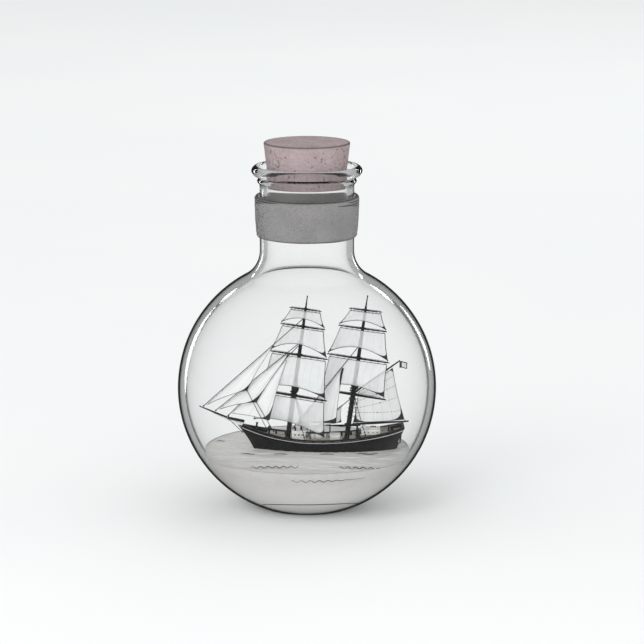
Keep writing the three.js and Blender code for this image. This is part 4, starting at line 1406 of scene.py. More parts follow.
sheeted("fore_royal", yards["fore_royal"], yards["fore_topgallant"], 2.6, 1.1, FORE_CLOTH,
        (0.16, 0.3, 0.22, 0.35))
sheeted("fore_topgallant", yards["fore_topgallant"], yards["fore_topsail"], 3.8, 1.8, FORE_CLOTH,
        (0.2, 0.26, 0.25, 0.34))
sheeted("fore_topsail", yards["fore_topsail"], yards["fore_lower"], 3, 2.2, FORE_CLOTH, (0.1, 0.1, 0.34, 0.2))
square_sail("fore_course", yards["fore_lower"], Vector((7, -12, 30.8)), Vector((-22, 11.2, 33.2)), 3, 2.2,
            FORE_CLOTH,
            (0.08, 0.1, 0.22, 0.3))
sheeted("main_royal", yards["main_royal"], yards["main_topgallant"], 2.4, 1.1, MAIN_CLOTH,
        (0.16, 0.3, 0.2, 0.35))
sheeted("main_topgallant", yards["main_topgallant"], yards["main_topsail"], 3.8, 1.8, MAIN_CLOTH,
        (0.2, 0.2, 0.3, 0.3))
sheeted("main_topsail", yards["main_topsail"], yards["main_lower"], 3, 1.9, MAIN_CLOTH,
        (0.1, 0.1, 0.34, 0.22))


# ---- Stays, jibs and staysails ----

def from_mast(mast, z, to):
    start = mast.at(z)
    away = to - start
    clear = (mast.radius(z) + 0.08) / math.hypot(away.x, away.y)
    return start + away * clear


def stay(name, mast, z, foot, radius=0.17):
    shape = Shape()
    top = from_mast(mast, z, foot)
    shape.rope(top, foot, radius)
    shape.torus(mast.at(z), mast.along, mast.radius(z) + 0.12, 0.13, 26, 8)
    shape.ball(foot, radius * 2.1, 12)
    piece(name + "_line", shape, ROPE, replaces=[name])


OUTER, INNER, FORE_Z, TOPMAST_Z = 77.7, 67.8, 67.0, 66.9
outer_foot, inner_foot = Vector((-42.3, 0, 41.15)), Vector((-37.3, 0, 39.25))
fore_foot = Vector((-32.2, 0, 37.2))
stay("outer_jib_stay", fore_mast, OUTER, outer_foot)
stay("inner_jib_stay", fore_mast, INNER, inner_foot)
stay("fore_stay", fore_mast, FORE_Z, fore_foot)
topmast_foot = fore_mast.at(31.9) + Vector((fore_mast.radius(31.9) + 0.5, 0, 0))
stay("main_topmast_stay", main_mast, TOPMAST_Z, topmast_foot)
stay("main_stay", main_mast, 45, Vector((-0.4, 1.2, deck_top(0) + 1.2)))


def staysail(name, tack, head, clew, camber, hollow, shade_corners, hanks=None):
    luff = (tack - head).length

    def surface(a, b):
        t = lerp(0.025, 1, b)
        p = head.lerp(tack.lerp(clew, a), t)
        p.y -= camber * math.sin(math.pi * min(1, a * 0.9)) * math.sin(math.pi * (0.08 + 0.72 * t))
        p.x -= hollow * a * math.sin(math.pi * t)
        p.z += 0.02 * luff * math.sin(math.pi * a) * b ** 3
        return p

    shape = Shape()
    shape.sheet(surface, 30, 46, SAIL_T)
    piece(name + "_cloth", shape, STAY_CLOTH, BOTTLE, [name], sharp=60)
    bolt_rope(ropes[BOTTLE], surface, 20, 34, 0.13)
    # Painted shade: dark sheets in the listed corners.
    for corner, along_a, along_b, curl in shade_corners:
        painted_corner_shade(patches[BOTTLE], surface, corner, along_a, along_b, 0.34, curl)
    if hanks:
        mast, z, foot = hanks
        top = mast.at(z)
        for k in range(10):
            p = surface(0, lerp(0.06, 0.95, k / 9))
            share = (p.x - foot.x) / (top.x - foot.x)
            line = Vector((p.x, 0, lerp(foot.z, top.z, share)))
            middle = (p + line) / 2
            up = (line - p).normalized()
            ring = [middle + up * (0.52 * math.sin(t)) + Vector((0, 0.26 * math.cos(t), 0))
                    for t in (2 * math.pi * i / 14 for i in range(14))]
            ties[BOTTLE].tube(ring, 0.06, 6, closed=True)
    return surface


def stay_set(name, mast, z, foot, tack_x, head_x, clew, camber, shade_corners):
    top = mast.at(z)

    def under(x):
        return Vector((x, 0, lerp(foot.z, top.z, (x - foot.x) / (top.x - foot.x)) - 0.75))

    return staysail(name, under(tack_x), under(head_x), clew, camber, 0.5, shade_corners, (mast, z, foot))


outer_clew, inner_clew, fore_clew = Vector((-24.4, -2.4, 48.3)), Vector((-20.6, -2.4,
                                                                         43.4)), Vector((-15.4, -2.6, 35.8))
stay_set("outer_jib", fore_mast, OUTER, outer_foot, -40.8, -14.4, outer_clew, 1.5,
         [((1, 1), 0.42, 0.34, 2.3)])
stay_set("inner_jib", fore_mast, INNER, inner_foot, -35.8, -7, inner_clew, 1.6,
         [((1, 1), 0.4, 0.55, 2.3), ((1, 0), 0.9, 0.2, 1.6)])
stay_set("fore_staysail", fore_mast, FORE_Z, fore_foot, -30.6, -8.2, fore_clew, 1.6,
         [((1, 1), 0.36, 0.4, 2.2)])
stay_set("main_topmast_staysail", main_mast, TOPMAST_Z, topmast_foot, -4, 14.9, Vector((11.8, -2.6, 34.6)),
         1.4,
         [((1, 0), 1.0, 0.4, 1.5), ((1, 1), 0.9, 0.13, 1.8), ((0, 1), 0.35, 0.14, 2.0)])
staysail("main_staysail", Vector((3, 1.4, 31.6)), Vector((14.2, 0.9, 41.4)), Vector((14, 1.9, 34)), 0.5, 0.5,
         [((1, 1), 0.3, 0.3, 2.0)])

for name, clew, foot in (("outer_jib_sheet", outer_clew, Vector((-16.4, -5.6, 32.9))),
                         ("inner_jib_sheet", inner_clew, Vector((-13.6, -6, 31.9)))):
    shape = Shape()
    start = clew + Vector((0.05, -0.25, -0.15))
    shape.rope(start, foot, 0.13)
    shape.ball(start, 0.3, 12)
    shape.ball(foot, 0.32, 12)
    piece(name + "_line", shape, ROPE, replaces=[name])


# ---- Spanker, gaff, boom and ensign ----

throat, peak = Vector((20.8, 0, 46.8)), Vector((34.8, 0, 56.8))
spanker_clew, spanker_tack = Vector((39.7, 0, 35.5)), Vector((18.9, 0, 34.3))
gaff_end, boom_end = Vector((37.6, 0, 59.9)), Vector((41.3, 0, 34.7))


def spanker_surface(a, b):
    p = throat.lerp(peak, a).lerp(spanker_tack.lerp(spanker_clew, a), b)
    p.y -= 1.8 * math.sin(math.pi * a) * math.sin(math.pi * (0.12 + 0.7 * b))
    p.x += 0.9 * math.sin(math.pi * b) * (0.5 - a)
    return p


def spar_with_jaws(node, z, end, radii):
    heel = main_mast.at(z) + Vector((main_mast.radius(z) + 0.45, 0, 0.1))
    shape = Shape()
    shape.rod(heel, end, *radii, sides=18, steps=30)
    along = (end - heel).normalized()
    shape.torus(main_mast.at(z), main_mast.along, main_mast.radius(z) + 0.55, 0.22, 30, 10)
    for share in (0.04, 0.3, 0.62, 0.95):
        at = heel.lerp(end, share)
        r = lerp(radii[0], radii[-1], share) + 0.1
        shape.lathe([(0, -0.14), (r, -0.14), (r + 0.03, 0), (r, 0.14), (0, 0.14)], 18, at, along)
    shape.ball(end, radii[-1] + 0.08, 14)
    piece(node + "_body", shape, SPAR, SPANKER, [node], sharp=50)
    return heel


gaff_heel = spar_with_jaws("gaff", 47.4, gaff_end, (0.35, 0.42, 0.36, 0.25))
boom_heel = spar_with_jaws("boom", 33.4, boom_end, (0.4, 0.5, 0.44, 0.3))


def spanker():
    shape = Shape()
    shape.sheet(spanker_surface, 44, 44, SAIL_T)
    piece("spanker_cloth", shape, STAY_CLOTH, SPANKER, ["spanker"], sharp=60)
    bolt_rope(ropes[SPANKER], spanker_surface, 30, 30, 0.14)
    # Painted shade: dark sheets at the clew, tack and peak.
    painted_corner_shade(patches[SPANKER], spanker_surface, (1, 1), 0.5, 0.42, 0.34, 2.6)
    painted_corner_shade(patches[SPANKER], spanker_surface, (0, 1), 0.5, 0.5, 0.34, 2.6)
    painted_corner_shade(patches[SPANKER], spanker_surface, (1, 0), 0.14, 0.12, 0.34, 2.0)
    reef = ropes[SPANKER]
    for b0, b1, knots in ((0.1, 0.14, (0.62,)), (0.3, 0.33, (0.5,)), (0.52, 0.56, (0.56,)),
                          (0.68, 0.82, (0.48,))):
        for side_hand in (1, -1):
            path = []
            for i in range(41):
                a = i / 40
                b = lerp(b0, b1, math.sin(a * math.pi / 2) ** 1.2)
                p = spanker_surface(a, b)
                path.append(p + Vector((0, side_hand * 0.13, 0)))
            for i in range(0, 40, 3):
                reef.tube(path[i:i + 3], 0.075, 6)
            for a in knots:
                p = spanker_surface(a, lerp(b0, b1, math.sin(a * math.pi / 2) ** 1.2))
                reef.ball(p + Vector((0, side_hand * 0.14, 0)), 0.24, 10)
    for k in range(8):
        a = lerp(0.02, 0.98, k / 7)
        edge = spanker_surface(a, 0)
        line = gaff_heel.lerp(gaff_end, clamp((edge.x - gaff_heel.x) / (gaff_end.x - gaff_heel.x)))
        loop(ties[SPANKER], edge, line, 0.5)
    for k in range(6):
        b = lerp(0.08, 0.8, k / 5)
        edge = spanker_surface(0, b)
        r = main_mast.radius(edge.z) + 0.3
        centre = main_mast.at(edge.z)
        path = []
        for i in range(26):
            turn = 2 * math.pi * i / 26
            x, y = r * math.cos(turn), r * math.sin(turn)
            if math.cos(turn) > 0:
                x += (edge.x + 0.2 - centre.x - r) * math.cos(turn) ** 3
            path.append(centre + Vector((x, y, 0)))
        ties[SPANKER].tube(path, 0.08, 6, closed=True)
    ties[SPANKER].rope(spanker_clew, boom_end - Vector((0.8, 0, 0)), 0.12)
    ties[SPANKER].rope(spanker_tack, boom_heel + Vector((0.4, 0, 0.2)), 0.12)


def loop(shape, a, b, reach):
    """A small lashing round two lines near a and b."""
    middle = (a + b) / 2
    up = (b - a).normalized()
    tall = (b - a).length / 2 + reach
    ring = [middle + up * (tall * math.sin(t)) + Vector((0, reach * math.cos(t), 0))
            for t in (2 * math.pi * i / 16 for i in range(16))]
    shape.tube(ring, 0.065, 6, closed=True)


spanker()


def ensign():
    low, high = box_mm("ensign")
    hoist, fly = low.x, high.x

    def surface(a, b):
        return Vector((lerp(hoist, fly, a), 0.5 * math.sin(5 * a) + 0.1 * math.sin(9 * a + 3 * b),
                       59.6 - 2.3 * b - 0.4 * a))

    shape = Shape()
    shape.sheet(surface, 30, 20, 0.16)
    piece("ensign_cloth", shape, FLAG, SPANKER, ["ensign"], sharp=60)
    trim = patches[SPANKER]
    path = [surface(i / 20, 0) for i in range(20)] + [surface(1, i / 16) for i in range(16)]
    path += [surface(1 - i / 20, 1) for i in range(20)] + [surface(0, 1 - i / 16) for i in range(16)]
    trim.tube(path, 0.2, 8, closed=True)
    for share in (0.06, 0.14, 0.22):
        trim.tube([surface(share, i / 10) for i in range(11)], 0.19, 8)
    ropes[SPANKER].rope(gaff_end + Vector((0, 0, 0.2)), Vector((hoist, 0, 59.9)), 0.09)
    ropes[SPANKER].rope(Vector((hoist, 0, 59.9)), Vector((hoist, 0, 56.9)), 0.09)


ensign()

for body, shape in ropes.items():
    piece(body + "_bolt_ropes", shape, ROPE, body)
# The dark cloth in the sails' corners is painted shade; the spanker gear's piece also holds the ensign's dark
# trim.
for body, shape in patches.items():
    piece(body + "_dark_cloth_marks", shape, SHADE_AND_TRIM_CLOTH, body, sharp=60)
for body, shape in ties.items():
    piece(body + "_sail_ties", shape, ROPE, body)


# ---- Shrouds, bobstay and head rig ----

def shrouds(node, mast, z, feet):
    shape = Shape()
    shape.torus(mast.at(z), mast.along, mast.radius(z) + 0.35, 0.24, 28, 8)
    for hand in (-1, 1):
        ends = []
        for x, y, low in feet:
            foot = Vector((x, hand * y, low))
            away = foot - mast.at(z)
            flat = Vector((away.x, away.y, 0))
            start = mast.at(z) + flat * ((mast.radius(z) + 0.5) / flat.length)
            shape.rope(start, foot, 0.13)
            for share in (0.0, 0.075):
                shape.lathe([(0, -0.12), (0.3, -0.12), (0.36, 0), (0.3, 0.12), (0, 0.12)], 14,
                            foot.lerp(start, share), Vector((0.2, hand, 0)))
            ends.append((start, foot))
        for k in range(11):
            t = lerp(0.12, 0.86, k / 10)
            a, b = (foot.lerp(start, t) for start, foot in ends)
            shape.rod(a, b, 0.055, sides=6, steps=3)
    piece(node + "_line", shape, ROPE, replaces=[node])


shrouds("fore_shrouds", fore_mast, 44.4, [(-0.9, 6.6, 28.2), (1.8, 6.7, 28)])
shrouds("main_shrouds", main_mast, 44.2, [(21.2, 6.6, 29), (24, 6.4, 29.4)])

bowsprit_heel = Vector((STEM_X + 1.6, 0, sheer(STEM_X) + 1.6))
bowsprit_end, boom_tip = Vector((-32.4, 0, 36.2)), Vector((-43.9, 0, 41))


def head_rig():
    shape = Shape()
    shape.rod(bowsprit_heel, bowsprit_end, 0.6, 0.6, 0.56, 0.48, sides=20)
    along = (bowsprit_end - bowsprit_heel).normalized()
    for share in (0.15, 0.5, 0.8):
        at = bowsprit_heel.lerp(bowsprit_end, share)
        shape.lathe([(0, -0.15), (0.66, -0.15), (0.7, 0), (0.66, 0.15), (0, 0.15)], 20, at, along)
    shape.box(bowsprit_end - along * 0.1, (0.5, 1.3, 1.5), along.to_track_quat("X", "Z").to_matrix())
    piece("bowsprit_body", shape, SPAR, replaces=["bowsprit"], sharp=45)
    boom = Shape()
    line = (boom_tip - bowsprit_end).normalized()
    start = bowsprit_end + line * 0.3
    boom.rod(start, boom_tip, 0.45, 0.4, 0.32, 0.2, sides=18, steps=30)
    for share in (0.02, 0.4, 0.86, 0.97):
        at = start.lerp(boom_tip, share)
        r = lerp(0.5, 0.26, share)
        boom.lathe([(0, -0.14), (r, -0.14), (r + 0.04, 0), (r, 0.14), (0, 0.14)], 18, at, line)
    boom.ball(boom_tip, 0.28, 14)
    piece("jibboom_body", boom, SPAR, replaces=["jibboom"], sharp=45)
    stay_shape = Shape()
    low = Vector((-26.4, 0, 30.2))
    stay_shape.rope(Vector((-32, 0, 35.6)), low, 0.16)
    stay_shape.ball(low, 0.34, 12)
    piece("bobstay_line", stay_shape, ROPE, replaces=["bobstay"])
    net = Shape()
    for hand in (-1, 1):
        rail_line = [Vector((lerp(-26.8, -38.5, i / 12), hand * lerp(2.1, 0.35, i / 12),
                             lerp(33.1, 38.3, i / 12)))
                     for i in range(13)]
        net.tube(rail_line, 0.08, 6)
        spar_line = [bowsprit_heel.lerp(boom_tip, lerp(0.06, 0.7, i / 12)) - UP * 0.5 for i in range(13)]
        for i in range(12):
            for a, b in ((rail_line[i], spar_line[i + 1]), (rail_line[i + 1], spar_line[i])):
                net.rod(a, b, 0.05, sides=5, steps=2)
    piece("head_netting", net, GREY_LINE)


head_rig()


# ---- Deck fittings ----

def windows(glass, trim, spots, facing, size=(0.9, 0.8)):
    """Framed panes set on a wall whose outward direction is facing."""
    facing = Vector(facing)
    across = UP.cross(facing)
    turn = Matrix((across, UP, facing)).transposed()
    for at in spots:
        at = Vector(at)
        glass.box(at + facing * 0.03, (size[0], size[1], 0.12), turn)
        for d in (-1, 1):
            trim.box(at + across * (d * size[0] / 2) + facing * 0.06, (0.13, size[1] + 0.22, 0.2), turn)
            trim.box(at + UP * (d * size[1] / 2) + facing * 0.06, (size[0] + 0.22, 0.13, 0.2), turn)
        trim.box(at + facing * 0.06, (0.08, size[1], 0.16), turn)


panes = Shape()


def fore_deckhouse():
    low = box_mm("fore_deckhouse")[0]
    x, floor = -3.4, low.z
    house = Shape()
    house.box((x, 0, floor + 1.5), (5.2, 5.5, 3.0))
    for sx in (-1, 1):
        for sy in (-1, 1):
            house.box((x + sx * 2.6, sy * 2.75, floor + 1.45), (0.3, 0.3, 2.9))
    for k in range(5):
        px = x + lerp(-2.0, 2.0, k / 4)
        for sy in (-1, 1):
            house.box((px, sy * 2.76, floor + 0.7), (0.12, 0.12, 1.3))
    house.box((x, 0, floor + 0.12), (5.5, 5.8, 0.24))
    house.box((x, 0, floor + 3.14), (5.9, 6.2, 0.34), taper=0.985)
    for k in range(9):
        house.box((x, lerp(-2.7, 2.7, k / 8), floor + 3.34), (5.6, 0.5, 0.14))
    for hand in (-1, 1):
        spots = [(x + d, hand * 2.78, floor + 1.95) for d in (-1.5, 0, 1.5)]
        windows(panes, house, spots, (0, hand, 0), (0.8, 0.75))
    house.box((x + 2.65, -0.9, floor + 1.35), (0.16, 1.2, 2.3))
    panes.box((x + 2.74, -0.9, floor + 1.95), (0.1, 0.6, 0.5))
    piece("fore_deckhouse_body", house, WHITE, replaces=["fore_deckhouse"], bevel=0.05)
    stack = Shape()
    stack.rod((-2.4, 0.8, floor + 3.3), (-2.4, 0.8, floor + 5.2), 0.4, sides=20)
    stack.lathe([(0, 0), (0.5, 0), (0.56, 0.12), (0.5, 0.3), (0.3, 0.42), (0, 0.46)], 20,
                (-2.4, 0.8, floor + 5.1))
    stack.lathe([(0, 0), (0.62, 0), (0.5, 0.2), (0, 0.2)], 20, (-2.4, 0.8, floor + 3.4))
    path = [(-4.8, -1.2, floor + 3.3), (-4.8, -1.2, floor + 4.2), (-4.85, -1.2, floor + 4.55),
            (-5.05, -1.2, floor + 4.75),
            (-5.3, -1.2, floor + 4.8)]
    stack.tube([Vector(p) for p in path], lambda t: 0.3 + 0.22 * t ** 3, 18)
    piece("galley_stack_and_cowl", stack, BLACK, sharp=45)


def aft_cabin():
    low = box_mm("aft_cabin")[0]
    x, floor = 26.0, low.z
    house = Shape()
    house.box((x, 0, floor + 0.85), (7.3, 6.3, 1.7))
    house.box((x, 0, floor + 0.1), (7.6, 6.6, 0.22))
    house.box((x, 0, floor + 1.86), (7.9, 7.0, 0.32), taper=0.985)
    for k in range(10):
        house.box((x, lerp(-3.1, 3.1, k / 9), floor + 2.05), (7.6, 0.54, 0.12))
    for sx in (-1, 1):
        for sy in (-1, 1):
            house.box((x + sx * 3.65, sy * 3.15, floor + 0.9), (0.28, 0.28, 1.7))
    for hand in (-1, 1):
        spots = [(x + d, hand * 3.17, floor + 1.0) for d in (-2.6, -0.9, 0.9, 2.6)]
        windows(panes, house, spots, (0, hand, 0), (0.75, 0.5))
    sky = floor + 2.1
    house.box((27, 0, sky + 0.2), (2.6, 2.2, 0.42))
    for hand in (-1, 1):
        tilt = Matrix.Rotation(hand * math.radians(-32), 3, "X")
        house.box((27, hand * 0.55, sky + 0.62), (2.5, 1.22, 0.14), tilt)
        for d in (-0.8, 0, 0.8):
            panes.box((27 + d, hand * 0.57, sky + 0.7), (0.6, 0.8, 0.08), tilt)
    house.box((27, 0, sky + 0.93), (2.6, 0.2, 0.16))
    house.box((23.4, 0.9, sky + 0.35), (1.3, 1.4, 0.7))
    house.box((23.35, 0.9, sky + 0.74), (1.5, 1.6, 0.12))
    panes.box((22.74, 0.9, sky + 0.3), (0.08, 0.9, 0.5))
    piece("aft_cabin_body", house, WHITE, replaces=["aft_cabin"], bevel=0.05)


def main_hatch():
    low = box_mm("main_hatch")[0]
    x, floor = 11.4, low.z
    shape = Shape()
    for sx, sy, w, d in ((-1, 0, 0.36, 4.4), (1, 0, 0.36, 4.4), (0, -1, 4.0, 0.36), (0, 1, 4.0, 0.36)):
        shape.box((x + sx * 1.85, sy * 2.05, floor + 0.95), (w, d, 1.9))
    shape.box((x, 0, floor + 1.4), (3.6, 4.0, 0.9))
    shape.box((x, 0, floor + 1.86), (4.4, 4.8, 0.2))
    for k in range(9):
        shape.box((x + lerp(-1.85, 1.85, k / 8), 0, floor + 2.06), (0.2, 4.5, 0.22))
    for k in range(10):
        shape.box((x, lerp(-2.1, 2.1, k / 9), floor + 2.08), (4.1, 0.2, 0.2))
    for hand in (-1, 1):
        for d in (-1.2, 0, 1.2):
            shape.box((x + d, hand * 2.3, floor + 1.0), (0.24, 0.16, 1.3))
    piece("main_hatch_body", shape, WHITE, replaces=["main_hatch"], bevel=0.04)


def longboat():
    low, high = box_mm("longboat")
    half = reading([(0, 0.15), (0.2, 1.2), (0.5, 1.7), (0.85, 1.4), (1, 0.9)])
    keel = low.z
    shape = Shape()
    sections = []
    for i in range(31):
        u = i / 30
        x = lerp(low.x, high.x, u)
        y = half(u)
        top = keel + 1.5 + 1.4 * (u - 0.55) ** 2
        half_points = []
        for share, height in ((0.1, 0), (0.45, 0.04), (0.72, 0.22), (0.8, 0.28), (0.86, 0.5), (0.93, 0.56),
                              (0.95, 0.78),
                              (1.0, 0.84), (1.0, 1.0)):
            half_points.append(Vector((x, y * share, lerp(keel, top, height))))
        half_points.append(Vector((x, y * 0.9, top + 0.02)))
        half_points.append(Vector((x, y * 0.45, top + 0.2)))
        sections.append(half_points + [mirrored(p) for p in reversed(half_points)])
    shape.loft(sections)
    for hand in (-1, 1):
        gunwale = []
        for i in range(31):
            u = i / 30
            gunwale.append(Vector((lerp(low.x, high.x, u), hand * half(u),
                                   keel + 1.5 + 1.4 * (u - 0.55) ** 2)))
        shape.tube(gunwale, 0.11, 8)
    shape.box((lerp(low.x, high.x, 0.5), 0, keel + 0.02), (5.4, 0.2, 0.26))
    for x in (3.2, 6.1):
        shape.box((x, 0, keel - 0.1), (0.5, 2.4, 0.44))
    piece("longboat_body", shape, WHITE, replaces=["longboat"], sharp=35)
    straps = Shape()
    for x in (3.2, 6.1):
        u = (x - low.x) / (high.x - low.x)
        top = keel + 1.5 + 1.4 * (u - 0.55) ** 2
        y = half(u)
        path = [(x, s * y * 1.06, keel + h) for s,
                h in ((-1, 0.2), (-1.02, 0.9), (-1.0, top - keel), (-0.45, top - keel + 0.24),
                                                         (0.45, top - keel + 0.24), (1.0, top - keel),
                      (1.02, 0.9), (1, 0.2))]
        straps.tube([Vector(p) for p in spline(path, 4)], 0.09, 8)
    piece("longboat_lashings", straps, ROPE)


def spare_spar():
    y, z = 4.2, 32.0
    shape = Shape()
    shape.rod((7.8, y, z), (22, y, z), 0.2, 0.36, 0.42, 0.4, 0.24, sides=18, steps=30)
    for x in (9.4, 20.4):
        floor = deck_top(x) + 0.3
        shape.box((x, y, (z - 0.55 + floor) / 2), (0.46, 0.8, z - 0.55 - floor))
        shape.box((x, y, floor + 0.1), (0.9, 1.2, 0.22))
        for hand in (-1, 1):
            shape.box((x, y + hand * 0.5, z - 0.25), (0.42, 0.26, 1.1))
        for d in (-0.16, 0, 0.16):
            shape.torus((x + d * 1.2, y, z), (1, 0, 0), 0.47, 0.07, 18, 6)
    piece("spare_spar_body", shape, SPAR, replaces=["spare_spar"], sharp=45, bevel=0.04)


def windlass():
    z = box_mm("windlass")[0].z
    x = -15.5
    shape = Shape()
    axle = z + 2.3 - 0.4
    for k in range(8):
        turn = 2 * math.pi * k / 8
        shape.box((x + 0.6 * math.cos(turn), 0, axle + 0.6 * math.sin(turn)), (0.3, 2.9, 0.24),
                  Matrix.Rotation(-turn, 3, "Y"))
    shape.rod((x, -2.7, axle), (x, 2.7, axle), 0.42, 0.5, 0.62, 0.62, 0.5, 0.42, sides=16)
    for hand in (-1, 1):
        shape.box((x, hand * 1.7, z + 1.3), (0.7, 0.5, 2.6))
        shape.box((x, hand * 1.7, z + 2.66), (0.84, 0.64, 0.2))
        shape.lathe([(0, -0.4), (0.55, -0.4), (0.36, 0), (0.55, 0.4), (0, 0.4)], 16, (x, hand * 2.45, axle),
                    (0, 1, 0))
    piece("windlass_body", shape, SPAR, replaces=["windlass"], sharp=40, bevel=0.05)


def catheads():
    low, high = box_mm("catheads")
    x, z = -20.6, (low.z + high.z) / 2
    shape = Shape()
    shape.box((x, 0, z), (0.7, 12.5, 0.6))
    for hand in (-1, 1):
        shape.box((x, hand * 6.0, z), (0.86, 0.5, 0.76))
        shape.box((x, hand * 2.2, z), (0.62, 0.62, 2.2))
        shape.box((x, hand * 2.2, z + 1.08), (0.76, 0.76, 0.18))
        shape.lathe([(0, -0.5), (0.26, -0.5), (0.2, 0), (0.26, 0.5), (0, 0.5)], 12,
                    (x, hand * 1.0, z + 0.7), (0, 1, 0))
    piece("catheads_body", shape, BLACK, replaces=["catheads"], bevel=0.06)


def capstan():
    low = box_mm("capstan")[0]
    x, z = 20.9, low.z
    shape = Shape()
    profile = spline([(1.15, 0), (1.1, 0.25), (0.66, 0.5), (0.58, 1.0), (0.66, 1.5), (1.0, 1.75),
                      (1.08, 2.0), (1.0, 2.25),
                      (0.5, 2.38)], 4)
    shape.lathe([(0, 0)] + profile + [(0, 2.42)], 32, (x, 0, z))
    for k in range(6):
        turn = 2 * math.pi * k / 6
        out = Vector((math.cos(turn), math.sin(turn), 0))
        shape.box(Vector((x, 0, z + 1.0)) + out * 0.66, (0.26, 0.2, 1.2), Matrix.Rotation(turn, 3, "Z"))
        shape.box(Vector((x, 0, z + 2.0)) + out * 1.06, (0.12, 0.26, 0.22), Matrix.Rotation(turn, 3, "Z"))
    piece("capstan_body", shape, SPAR, replaces=["capstan"], sharp=45)


def steering_wheel():
    floor = box_mm("steering_wheel")[0].z
    centre = Vector((33.4, 0, floor + 1.4))
    shape = Shape()
    shape.torus(centre, (1, 0, 0), 0.82, 0.12, 36, 10)
    shape.lathe([(0, -0.3), (0.26, -0.3), (0.34, 0), (0.26, 0.3), (0, 0.3)], 18, centre, (1, 0, 0))
    shape.rod(centre, centre + Vector((1.5, 0, 0)), 0.2, sides=14)
    for k in range(8):
        turn = 2 * math.pi * k / 8
        out = Vector((0, math.cos(turn), math.sin(turn)))
        shape.rod(centre + out * 0.2, centre + out * 1.22, 0.09, 0.07, 0.06, 0.1, 0.07, sides=10)
    shape.box((34.8, 0, floor + 1.0), (1.1, 1.2, 2.0), taper=0.86)
    shape.box((34.8, 0, floor + 2.06), (1.15, 1.2, 0.16))
    shape.box((34.2, 0, floor + 0.06), (3.0, 2.6, 0.16))
    piece("steering_wheel_body", shape, SPAR, replaces=["steering_wheel"], sharp=40,
          bevel=0.03)


fore_deckhouse()
aft_cabin()
main_hatch()
longboat()
spare_spar()
windlass()
catheads()
capstan()
steering_wheel()
piece("cabin_panes", panes, PANE)


# ---- Stage: floor, world and lamps ----

def floor():
    mesh = bpy.data.meshes.new("floor")
    count, radius = 96, 9.0
    points = [(radius * math.cos(2 * math.pi * i / count), radius * math.sin(2 * math.pi * i / count),
               -0.00005)
              for i in range(count)]
    mesh.from_pydata(points, [], [list(range(count))])
    look = Look("pale_floor", tone(245, 246, 245), 0.75, {"Specular IOR Level": 0.0})
    cloudy = look.noise(look.place(), 3.0, 3)
    look.set("Base Color", look.ramp(cloudy, (0.3, tone(232, 234, 234)), (0.7, tone(235, 236, 236))))
    mesh.materials.append(look.material)
    made = bpy.data.objects.new("floor", mesh)
    bpy.context.scene.collection.objects.link(made)
    made.visible_glossy = False
    made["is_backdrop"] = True


floor()

world = bpy.data.worlds.new("studio")
world.use_nodes = True
bpy.context.scene.world = world
sky = world.node_tree.nodes["Background"]
sky.inputs["Color"].default_value = (0.957, 0.966, 0.966, 1)
path = world.node_tree.nodes.new("ShaderNodeLightPath")


def world_maths(operation, a, b):
    made = world.node_tree.nodes.new("ShaderNodeMath")
    made.operation = operation
    for socket, value in zip(made.inputs, (a, b)):
        if isinstance(value, bpy.types.NodeSocket):
            world.node_tree.links.new(value, socket)
        else:
            socket.default_value = value
    return made.outputs[0]


# The sky is dimmer for mirrored rays than for straight ones, which keeps the rims of the glass thin and dark.
# Light that has turned inside the glass keeps a part of it, so that the thick of the wall stays pale.
MIRRORED_SKY = 0.05
FIRST_TURN_SKY = 0.42
LATER_TURN_SKY = 0.35
mirrored_ray = world_maths("MINIMUM", path.outputs["Glossy Depth"], 1.0)
inside_turn = world_maths("COMPARE", path.outputs["Transmission Depth"], 2.0)
inside_turn.node.inputs[2].default_value = 0.5
later_turn = world_maths("GREATER_THAN", path.outputs["Transmission Depth"], 2.5)
mirrored_light = world_maths("ADD", world_maths("MULTIPLY", inside_turn, FIRST_TURN_SKY),
                             world_maths("MULTIPLY", later_turn, LATER_TURN_SKY))
mirrored_light = world_maths("ADD", mirrored_light, MIRRORED_SKY)
straight_light = world_maths("SUBTRACT", 1.0, mirrored_ray)
both_lights = world_maths("ADD", straight_light, world_maths("MULTIPLY", mirrored_ray, mirrored_light))
world.node_tree.links.new(both_lights, sky.inputs["Strength"])


def aim(made, at, target):
    made.location = at
    made.rotation_mode = "QUATERNION"
    made.rotation_quaternion = (Vector(target) - Vector(at)).to_track_quat("-Z", "Y")


def lamp(name, at, target, size, power):
    data = bpy.data.lights.new(name, "AREA")
    data.shape = "RECTANGLE"
    data.size, data.size_y = size
    data.energy = power
    made = bpy.data.objects.new(name, data)
    bpy.context.scene.collection.objects.link(made)
    aim(made, at, target)
    made.visible_camera = False
    made.visible_glossy = False
    made.visible_transmission = False


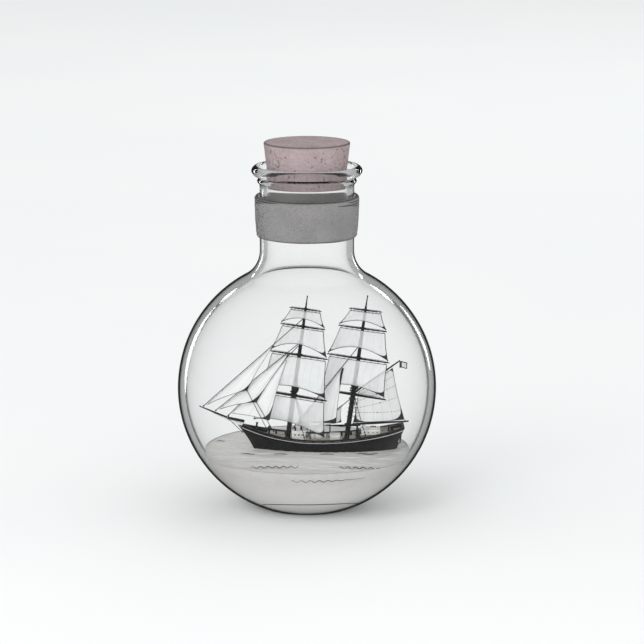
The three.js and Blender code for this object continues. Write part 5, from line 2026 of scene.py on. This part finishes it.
lamp("key", (-0.75, -1.0, 1.15), (0, 0, 0.06), (0.7, 0.7), 6.0)
lamp("front_fill", (0.05, -1.25, 0.1), (0, 0, 0.03), (1.5, 0.18), 7.0)
lamp("rear_fill", (0.5, 1.5, 1.1), (0, 0, 0.06), (0.9, 0.6), 2.5)


def crescent(name, clock_start, clock_end, rim_share, breadth, strength):
    """A bright sickle, seen only by reflections, that puts a long highlight along the flask's rim. The clock
    angles run round the flask as the camera sees it; rim_share is how far out the highlight lies."""
    glow = bpy.data.materials.new(name + "_glow")
    glow.use_nodes = True
    nodes = glow.node_tree.nodes
    nodes.remove(nodes["Principled BSDF"])
    emit = nodes.new("ShaderNodeEmission")
    emit.inputs["Strength"].default_value = strength
    glow.node_tree.links.new(emit.outputs[0], nodes["Material Output"].inputs["Surface"])
    centre = Vector((0, 0, BALL_Z * MM))
    above = Vector((0, math.sin(VIEW_ELEVATION), math.cos(VIEW_ELEVATION)))
    steps, points = 24, []
    for hand in (-1, 1):
        for i in range(steps + 1):
            t = i / steps
            clock = math.radians(lerp(clock_start, clock_end, t))
            share = rim_share + hand * breadth / 2 * math.sin(math.pi * clamp(t, 0.03, 0.97)) ** 0.6
            away = math.pi - 2 * math.asin(share)
            out = Vector((math.cos(clock), 0, 0)) + above * math.sin(clock)
            points.append(centre + (out * math.sin(away) - back * math.cos(away)) * 1.3)
    n = steps + 1
    faces = [(i, i + 1, n + i + 1, n + i) for i in range(steps)]
    mesh = bpy.data.meshes.new(name)
    mesh.from_pydata(points, [], faces)
    mesh.materials.append(glow)
    made = bpy.data.objects.new(name, mesh)
    bpy.context.scene.collection.objects.link(made)
    made.visible_camera = False
    made.visible_diffuse = False
    made.visible_transmission = False
    made.visible_volume_scatter = False
    made.visible_shadow = False
    made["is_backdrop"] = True


crescent("left_glint", 140, 184, 0.93, 0.026, 6.0)
crescent("upper_left_glint", 126, 137.5, 0.925, 0.02, 6.0)
crescent("upper_right_glint", 43, 58, 0.92, 0.022, 6.0)
crescent("right_glint", 6, 40, 0.95, 0.016, 6.0)

scene = bpy.context.scene
scene.view_settings.view_transform = "Standard"
scene.cycles.max_bounces = 24
scene.cycles.transmission_bounces = 20
scene.cycles.transparent_max_bounces = 64

low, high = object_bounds()
